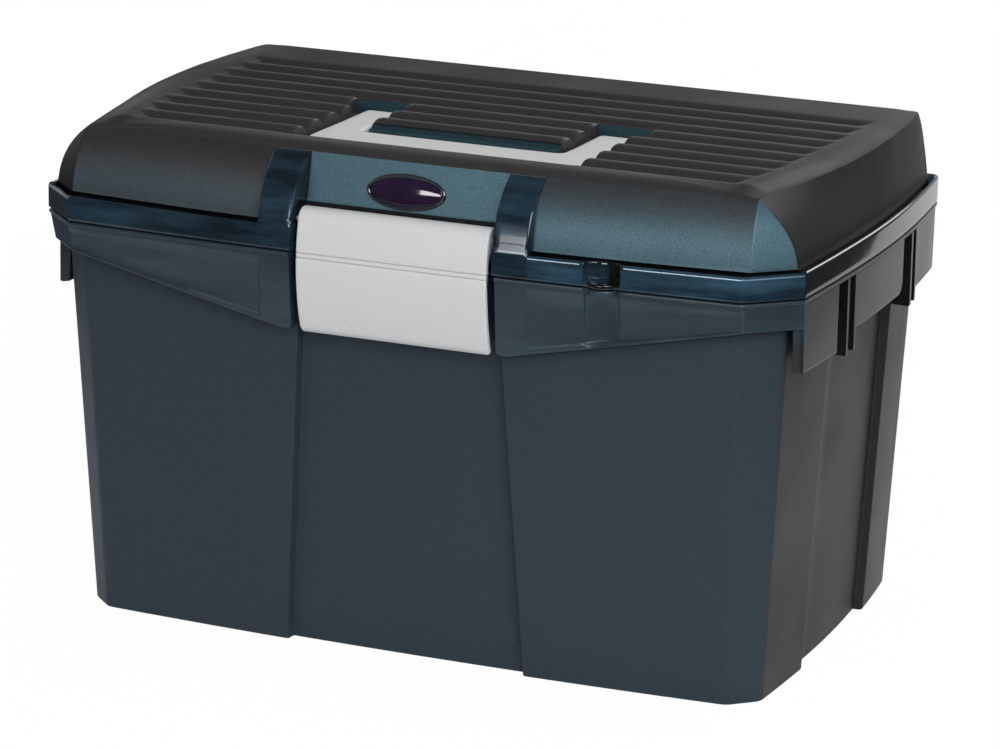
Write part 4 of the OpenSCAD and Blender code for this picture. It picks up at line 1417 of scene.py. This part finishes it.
# Section of the handle's edge: distance in from its side, height above its lower face or below its upper one
LOW_EDGE = [(1.3, 0), (0.4, 0.35), (0, 1.3)]
HIGH_EDGE = [(0, 2.2), (0.25, 1.2), (0.9, 0.45), (2.0, 0.08), (3.6, 0)]
# Turns of the rounded ends of the arms, in degrees
ARM_END = (88, 75, 60, 45, 30, 15)


def handle_path(half, front, r):
    """One edge of the handle from the left pivot round the bar to the right one."""
    left = [(-half, y) for y in ARM_Y] + [(-half, front + r + ARM_CLEAR)]
    for i in range(9):
        turn = math.radians(180 + 90 * i / 8)
        left.append((-half + r + r * math.cos(turn), front + r + r * math.sin(turn)))
    return left + [(x, front) for x in BAR_X] + [(-x, y) for x, y in reversed(left)]


def make_handle(materials):
    build = Build()
    outer = handle_path(HANDLE_HALF, BAR_FRONT, OUT_R)
    inner = handle_path(HANDLE_HALF - ARM_W, BAR_FRONT + BAR_D, IN_R)
    half = HANDLE_T / 2
    edge = [(d, -half + h) for d, h in LOW_EDGE] + [(d, half - h) for d, h in HIGH_EDGE]
    ring = [(0, d, h) for d, h in edge] + [(1, d, h) for d, h in reversed(edge)]

    def section(a, b, dy=0.0, tall=1.0):
        width = math.hypot(b[0] - a[0], b[1] - a[1])
        points = []
        for side, d, h in ring:
            t = d / width if side == 0 else 1 - d / width
            points.append([mix(a[0], b[0], t), mix(a[1], b[1], t) + dy, PIVOT_Z + h * tall])
        return points

    turns = [math.radians(v) for v in ARM_END]
    rows = [section(outer[0], inner[0], half * math.sin(t), math.cos(t)) for t in turns]
    rows += [section(a, b) for a, b in zip(outer, inner)]
    rows += [section(outer[-1], inner[-1], half * math.sin(t), math.cos(t)) for t in reversed(turns)]
    build.add(rows, 0, cap_ends=True)
    return build.make("handle_grip", materials, sharp=40)


# Badge

BADGE_Z = 233.0
BADGE_A = 20.5
BADGE_B = 8.8
BEZEL_W = 1.8
BEZEL_H = 1.2
BADGE_SINK = 1.4
BADGE_Y = front_line(0, centre_inset(BADGE_Z))
BADGE_TILT = math.radians(90) - CENTRE_ANGLE
# Section of the frame: distance in from its outer edge, height above the panel
BEZEL = [
    (0.05, -BADGE_SINK), (0.05, 0.5), (0.2, 0.95), (0.6, BEZEL_H), (1.1, BEZEL_H),
    (1.5, 0.95), (BEZEL_W - 0.1, 0.4), (BEZEL_W, -BADGE_SINK),
]
# The plate's gap to the frame, heights of its edge and its dome, and the flat at the middle of its back
PLATE_GAP = 0.05
PLATE_EDGE = 0.1
PLATE_DOME = 1.4
PLATE_MIDDLE = 0.3


def on_badge(u, v, w):
    """Point over the badge's middle: u across, v up the panel, w out of it."""
    c, s = math.cos(BADGE_TILT), math.sin(BADGE_TILT)
    return [u, BADGE_Y + v * c - w * s, BADGE_Z + v * s + w * c]


def oval(a, b, w):
    return [on_badge(a * math.cos(t), b * math.sin(t), w) for t in circle(96)]


def make_badge(bezel_material, dome_material):
    bezel = Build()
    rows = [oval(BADGE_A - d, BADGE_B - d, w) for d, w in BEZEL]
    bezel.add(rows + rows[:1], 0)
    ring = bezel.make("badge_frame", [bezel_material])
    dome = Build()
    a = BADGE_A - BEZEL_W - PLATE_GAP
    b = BADGE_B - BEZEL_W - PLATE_GAP
    rows = [oval(PLATE_MIDDLE, PLATE_MIDDLE, -BADGE_SINK), oval(a, b, -BADGE_SINK)]
    for i in range(15):
        turn = math.radians(86 * i / 14)
        rows.append(oval(a * math.cos(turn), b * math.cos(turn), PLATE_EDGE + PLATE_DOME * math.sin(turn)))
    dome.add(rows, 0, cap_ends=True)
    plate = dome.make("badge_plate", [dome_material])
    return ring, plate


# Materials


class Nodes:
    """Short ways to add nodes to one tree and to join them."""

    def __init__(self, tree):
        self.tree = tree

    def node(self, kind, **values):
        made = self.tree.nodes.new(kind)
        for key, value in values.items():
            if key in made.inputs:
                made.inputs[key].default_value = value
            else:
                setattr(made, key, value)
        return made

    def link(self, a, b):
        self.tree.links.new(a, b)

    def put(self, value, socket):
        """Sets a socket to a number or colour, or links it to another socket."""
        if isinstance(value, tuple):
            socket.default_value = (*value, 1)
        elif isinstance(value, float):
            socket.default_value = value
        else:
            self.link(value, socket)

    def ramp(self, source, stops):
        ramp = self.node("ShaderNodeValToRGB")
        while len(ramp.color_ramp.elements) < len(stops):
            ramp.color_ramp.elements.new(0.5)
        for element, (place, colour) in zip(ramp.color_ramp.elements, stops):
            element.position = place
            element.color = (*colour, 1)
        self.link(source, ramp.inputs["Fac"])
        return ramp.outputs["Color"]

    def span(self, source, low, high, start=0.0, stop=1.0):
        """The source between start and stop, rescaled to run from low to high."""
        ranged = self.node("ShaderNodeMapRange")
        ranged.inputs["From Min"].default_value = start
        ranged.inputs["From Max"].default_value = stop
        ranged.inputs["To Min"].default_value = low
        ranged.inputs["To Max"].default_value = high
        self.link(source, ranged.inputs["Value"])
        return ranged.outputs["Result"]

    def blend(self, share, a, b):
        """Colour a, or b where share is 1."""
        mixer = self.node("ShaderNodeMix", data_type="RGBA")
        for value, place in ((share, 0), (a, 6), (b, 7)):
            self.put(value, mixer.inputs[place])
        return mixer.outputs[2]

    def maths(self, operation, a, b):
        made = self.node("ShaderNodeMath", operation=operation)
        self.put(a, made.inputs[0])
        self.put(b, made.inputs[1])
        return made.outputs[0]

    def either(self, share, a, b):
        """Shader node a, or b where share is 1."""
        mixer = self.node("ShaderNodeMixShader")
        for source, place in ((share, 0), (a.outputs[0], 1), (b.outputs[0], 2)):
            self.link(source, mixer.inputs[place])
        return mixer


class Shader(Nodes):
    """Node material built round one Principled shader."""

    STREAK_TILT = (0, 0.18, 0)

    def __init__(self, name, **values):
        self.material = bpy.data.materials.new(name)
        self.material.use_nodes = True
        super().__init__(self.material.node_tree)
        self.shader = self.tree.nodes["Principled BSDF"]
        for key, value in values.items():
            self.shader.inputs[key.replace("_", " ")].default_value = value

    def noise(self, scale, detail=3.0, rough=0.5, stretch=None):
        place = self.node("ShaderNodeTexCoord").outputs["Object"]
        if stretch:
            mapping = self.node("ShaderNodeMapping", Scale=stretch, Rotation=self.STREAK_TILT)
            self.link(place, mapping.inputs["Vector"])
            place = mapping.outputs["Vector"]
        grain = self.node("ShaderNodeTexNoise", Scale=scale, Detail=detail, Roughness=rough)
        self.link(place, grain.inputs["Vector"])
        return grain.outputs["Fac"]

    def bump(self, source, strength, distance):
        bump = self.node("ShaderNodeBump", Strength=strength, Distance=distance)
        self.link(source, bump.inputs["Height"])
        self.link(bump.outputs["Normal"], self.shader.inputs["Normal"])

    def shade(self, share, pair):
        """The deep colour of a pair, or the light one where share is 1."""
        light, deep = pair
        return self.blend(share, deep, light)

    def colour(self, source):
        self.link(source, self.shader.inputs["Base Color"])

    def rough(self, source):
        self.link(source, self.shader.inputs["Roughness"])

    def attribute(self, name):
        return self.node("ShaderNodeAttribute", attribute_name=name).outputs["Fac"]


# Pairs of a light and a deep colour
# Painted light: TEAL, the lid's pearl where it faces the front lamps
TEAL = ((0.084, 0.168, 0.205), (0.045, 0.091, 0.113))
# Painted shade: ASH, grey of the lid's top
ASH = ((0.070, 0.066, 0.068), (0.040, 0.038, 0.039))
# Painted shade: CHARCOAL, the lid's ends
CHARCOAL = ((0.018, 0.018, 0.021), (0.009, 0.009, 0.010))
# Painted light: WALL, teal of the recess walls
WALL = ((0.030, 0.066, 0.080), (0.016, 0.036, 0.044))
SLATE = ((0.028, 0.040, 0.053), (0.020, 0.030, 0.040))
# Painted reflection: SLATE_END, grey of the tub's ends
SLATE_END = ((0.027, 0.026, 0.027), (0.021, 0.020, 0.021))
NAVY = ((0.040, 0.096, 0.148), (0.010, 0.024, 0.038))
BELT = ((0.030, 0.050, 0.066), (0.020, 0.034, 0.046))
# Painted shade: the dark flanks of the belt
FLANK_PAINTED_SHADE = ((0.012, 0.018, 0.024), (0.006, 0.009, 0.012))
LATCH_GREY = ((0.57, 0.575, 0.57), (0.53, 0.535, 0.53))
# Painted light: the handle's grey lighter than the latch's, for light from above
HANDLE_GREY_PAINTED_LIGHT = ((0.66, 0.66, 0.64), (0.62, 0.62, 0.60))
TRAY_GREY = ((0.25, 0.26, 0.27), (0.21, 0.22, 0.23))
STEEL = ((0.56, 0.56, 0.57), (0.42, 0.42, 0.43))
FRAME_BLACK = ((0.012, 0.010, 0.016), (0.008, 0.007, 0.011))
VIOLET = ((0.016, 0.008, 0.028), (0.009, 0.005, 0.016))
# Single colours that the gloss turns to: INK as painted shade, BELT_END as the painted reflection on the
# belt's ends
INK = (0.006, 0.007, 0.008)
BELT_END = (0.030, 0.029, 0.030)


def grained(name, pair, tints=(), rough=(0.40, 0.52), metal=0.0, specular=0.25, dull=None):
    """Moulded plastic with a fine grain and flecks between a light and a deep colour.

    One such pair follows for each step of the tint; dull is the specular level of tints from 1.5 up.
    """
    made = Shader(name, Metallic=metal, Specular_IOR_Level=specular)
    fine = made.noise(scale=2000, detail=2, rough=0.6)
    fleck = made.span(fine, 0.0, 1.0, start=0.36, stop=0.66)
    colour = made.shade(fleck, pair)
    for step, other in enumerate(tints):
        share = made.span(made.attribute("tint"), 0.0, 1.0, start=step, stop=step + 1)
        colour = made.blend(share, colour, made.shade(fleck, other))
    made.colour(colour)
    made.rough(made.span(made.noise(scale=16, detail=4), *rough, start=0.3, stop=0.7))
    made.bump(fine, strength=0.16, distance=0.0004)
    if dull is not None:
        shine = made.span(made.attribute("tint"), specular, dull, start=1, stop=1.5)
        made.link(shine, made.shader.inputs["Specular IOR Level"])
    return made.material


def polished(name, pair, ends, rough, coat):
    """Smooth plastic with faint streaks painted as reflections; tints turn it to the colour painted on its
    ends and then to black painted shade.
    """
    made = Shader(name, Metallic=0.3, Specular_IOR_Level=0.45, Coat_Weight=coat, Coat_Roughness=0.05)
    drawn = made.noise(scale=1.0, detail=4, rough=0.6, stretch=(18, 18, 110))
    painted_reflection = made.span(drawn, 0.0, 1.0, start=0.38, stop=0.68)
    colour = made.blend(made.attribute("tint"), made.shade(painted_reflection, pair), ends)
    black = made.span(made.attribute("tint"), 0.0, 1.0, start=1, stop=2)
    made.colour(made.blend(black, colour, INK))
    made.rough(made.span(made.noise(scale=60), *rough))
    made.bump(made.noise(scale=45, detail=2), strength=0.05, distance=0.001)
    return made.material


def clouded(name, pair, rough, scale, detail, **values):
    """Plain material whose colour and roughness vary together."""
    made = Shader(name, **values)
    cloud = made.noise(scale, detail)
    made.colour(made.shade(cloud, pair))
    made.rough(made.span(cloud, *rough))
    return made.material


lid_grain = grained("lid_grain", TEAL, [ASH, CHARCOAL, WALL], metal=0.45, specular=0.36, dull=0.06)
tub_grain = grained("tub_grain", SLATE, [SLATE_END], specular=0.2)
navy_gloss = polished("navy_gloss", NAVY, INK, (0.06, 0.11), 0.3)
strap_satin = polished("strap_satin", NAVY, INK, (0.14, 0.19), 0.15)
belt_satin = polished("belt_satin", BELT, BELT_END, (0.28, 0.40), 0.1)
belt_painted_shade = polished("belt_painted_shade", FLANK_PAINTED_SHADE, INK, (0.28, 0.40), 0.1)
grey_satin = grained("grey_satin", LATCH_GREY, rough=(0.38, 0.48), specular=0.4)
handle_satin = grained("handle_satin", HANDLE_GREY_PAINTED_LIGHT, rough=(0.5, 0.6), specular=0.3)
tray_grain = grained("tray_grain", TRAY_GREY)
pin_steel = clouded("pin_steel", STEEL, (0.22, 0.36), 300, 4, Metallic=1.0)
BADGE_COAT = {"Coat_Weight": 0.6, "Coat_Roughness": 0.04}
badge_frame = clouded("badge_frame", FRAME_BLACK, (0.15, 0.22), 120, 3, **BADGE_COAT)
badge_face = clouded("badge_face", VIOLET, (0.05, 0.09), 120, 3, **BADGE_COAT)

# Pieces

lid = make_lid([lid_grain, navy_gloss, strap_satin])
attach(lid, "lid")
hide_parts("lid_shell")

tub = make_tub([tub_grain, belt_satin, belt_painted_shade])
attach(tub, "tub")
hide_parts("base_tub")

latch = make_latch([grey_satin])
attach(latch, "latch")
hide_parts("front_latch")

handle = make_handle([handle_satin])
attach(handle, "handle")
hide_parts("carry_handle")

ring, plate = make_badge(badge_frame, badge_face)
for piece, node in ((ring, "badge_bezel"), (plate, "badge_dome")):
    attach(piece, "lid")
    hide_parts(node)

for name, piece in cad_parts.items():
    if "pin" in name:
        piece.data.materials.clear()
        piece.data.materials.append(pin_steel)
    if name == "insert_tray":
        piece.data.materials.clear()
        piece.data.materials.append(tray_grain)
        soft = piece.modifiers.new("soft_edges", "BEVEL")
        soft.width = 0.0007
        soft.segments = 2
        soft.limit_method = "ANGLE"
        soft.angle_limit = math.radians(40)

# Camera

CAMERA = Vector((0.8534, -1.9720, 0.7105))
TARGET = Vector((0.0028, 0.0021, 0.1174))
ROLL = math.radians(1.02)
LENS = 160.34

lens = bpy.data.cameras.new("camera")
lens.lens = LENS
lens.sensor_width = 36.0
lens.sensor_fit = "HORIZONTAL"
lens.clip_end = 100.0
camera = bpy.data.objects.new("camera", lens)
bpy.context.scene.collection.objects.link(camera)
forward = (TARGET - CAMERA).normalized()
right = forward.cross(Vector((0, 0, 1))).normalized()
up = right.cross(forward)
turned_right = right * math.cos(ROLL) + up * math.sin(ROLL)
turned_up = up * math.cos(ROLL) - right * math.sin(ROLL)
view = Matrix((turned_right, turned_up, -forward)).transposed().to_4x4()
camera.matrix_world = Matrix.Translation(CAMERA) @ view
bpy.context.scene.camera = camera

# Light and floor

scene = bpy.context.scene
scene.view_settings.view_transform = "Standard"


def area_light(name, place, target, size, power):
    data = bpy.data.lights.new(name, "AREA")
    data.shape = "RECTANGLE"
    data.size, data.size_y = size
    data.energy = power
    lamp = bpy.data.objects.new(name, data)
    lamp.location = place
    aim = Vector(target) - Vector(place)
    lamp.rotation_euler = aim.to_track_quat("-Z", "Y").to_euler()
    scene.collection.objects.link(lamp)


area_light("key_box", (1.15, -1.5, 1.3), (0, 0, 0.15), (1.1, 1.1), 34)
area_light("front_box", (-0.3, -2.2, 0.72), (0, 0, 0.2), (0.9, 0.3), 9)
area_light("left_fill", (-2.4, 0.3, 1.2), (0, 0, 0.12), (1.6, 1.6), 5)
area_light("side_box", (1.9, -1.0, 0.65), (0.18, -0.1, 0.2), (0.6, 0.3), 2)
area_light("back_fill", (0.7, 2.3, 1.6), (0, 0.1, 0.12), (1.4, 1.0), 16)
area_light("back_strip", (0.3, 1.7, 1.0), (0.3, 0.8, 0.0), (1.2, 0.5), 5)

# Dull surfaces see an even sky, shiny ones a pale strip low behind the box in a dark room, the camera white
SKY = (0.9, 0.95, 1.0)
SKY_STRENGTH = 0.32
ROOM = (0.06, 0.06, 0.06)
STRIP = [(0.455, 0.06), (0.47, 0.9), (0.57, 0.82), (0.70, 0.06)]
BEHIND = (0.15, 0.5)

world = bpy.data.worlds.new("studio")
scene.world = world
world.use_nodes = True
world.node_tree.nodes.clear()
sky = Nodes(world.node_tree)
split = sky.node("ShaderNodeSeparateXYZ")
sky.link(sky.node("ShaderNodeTexCoord").outputs["Generated"], split.inputs["Vector"])
height = sky.span(split.outputs["Z"], 0.0, 1.0, -1.0, 1.0)
strip = sky.ramp(height, [(place, (grey, grey, grey)) for place, grey in STRIP])
studio = sky.node("ShaderNodeBackground")
sky.link(sky.blend(sky.span(split.outputs["Y"], 0.0, 1.0, *BEHIND), ROOM, strip), studio.inputs["Color"])
plain = sky.node("ShaderNodeBackground", Color=(*SKY, 1), Strength=SKY_STRENGTH)
white = sky.node("ShaderNodeBackground", Color=(1, 1, 1, 1), Strength=1.0)
rays = sky.node("ShaderNodeLightPath").outputs
shiny = sky.maths("MAXIMUM", rays["Is Glossy Ray"], rays["Is Transmission Ray"])
seen = sky.either(rays["Is Camera Ray"], sky.either(shiny, plain, studio), white)
sky.link(seen.outputs[0], sky.node("ShaderNodeOutputWorld").inputs["Surface"])

# The paper that the box stands on ends in front of it and on both sides, so the gloss there turns dark;
# the camera sees it almost white
LEFT, RIGHT, NEAR, FAR = -0.6, 0.47, -0.5, 3.5
PAPER_GLOW = 0.98

ground = bpy.data.meshes.new("floor")
ground.from_pydata([(LEFT, NEAR, 0), (RIGHT, NEAR, 0), (RIGHT, FAR, 0), (LEFT, FAR, 0)], [], [(0, 1, 2, 3)])
floor = bpy.data.objects.new("floor", ground)
scene.collection.objects.link(floor)
paper = Shader("floor_pale", Base_Color=(0.9, 0.9, 0.9, 1), Roughness=0.8, Specular_IOR_Level=0.1)
glow = paper.node("ShaderNodeEmission", Strength=1.0)
to_camera = paper.node("ShaderNodeLightPath").outputs["Is Camera Ray"]
shown = paper.either(paper.maths("MULTIPLY", to_camera, PAPER_GLOW), paper.shader, glow)
paper.link(shown.outputs[0], paper.tree.nodes["Material Output"].inputs["Surface"])
ground.materials.append(paper.material)
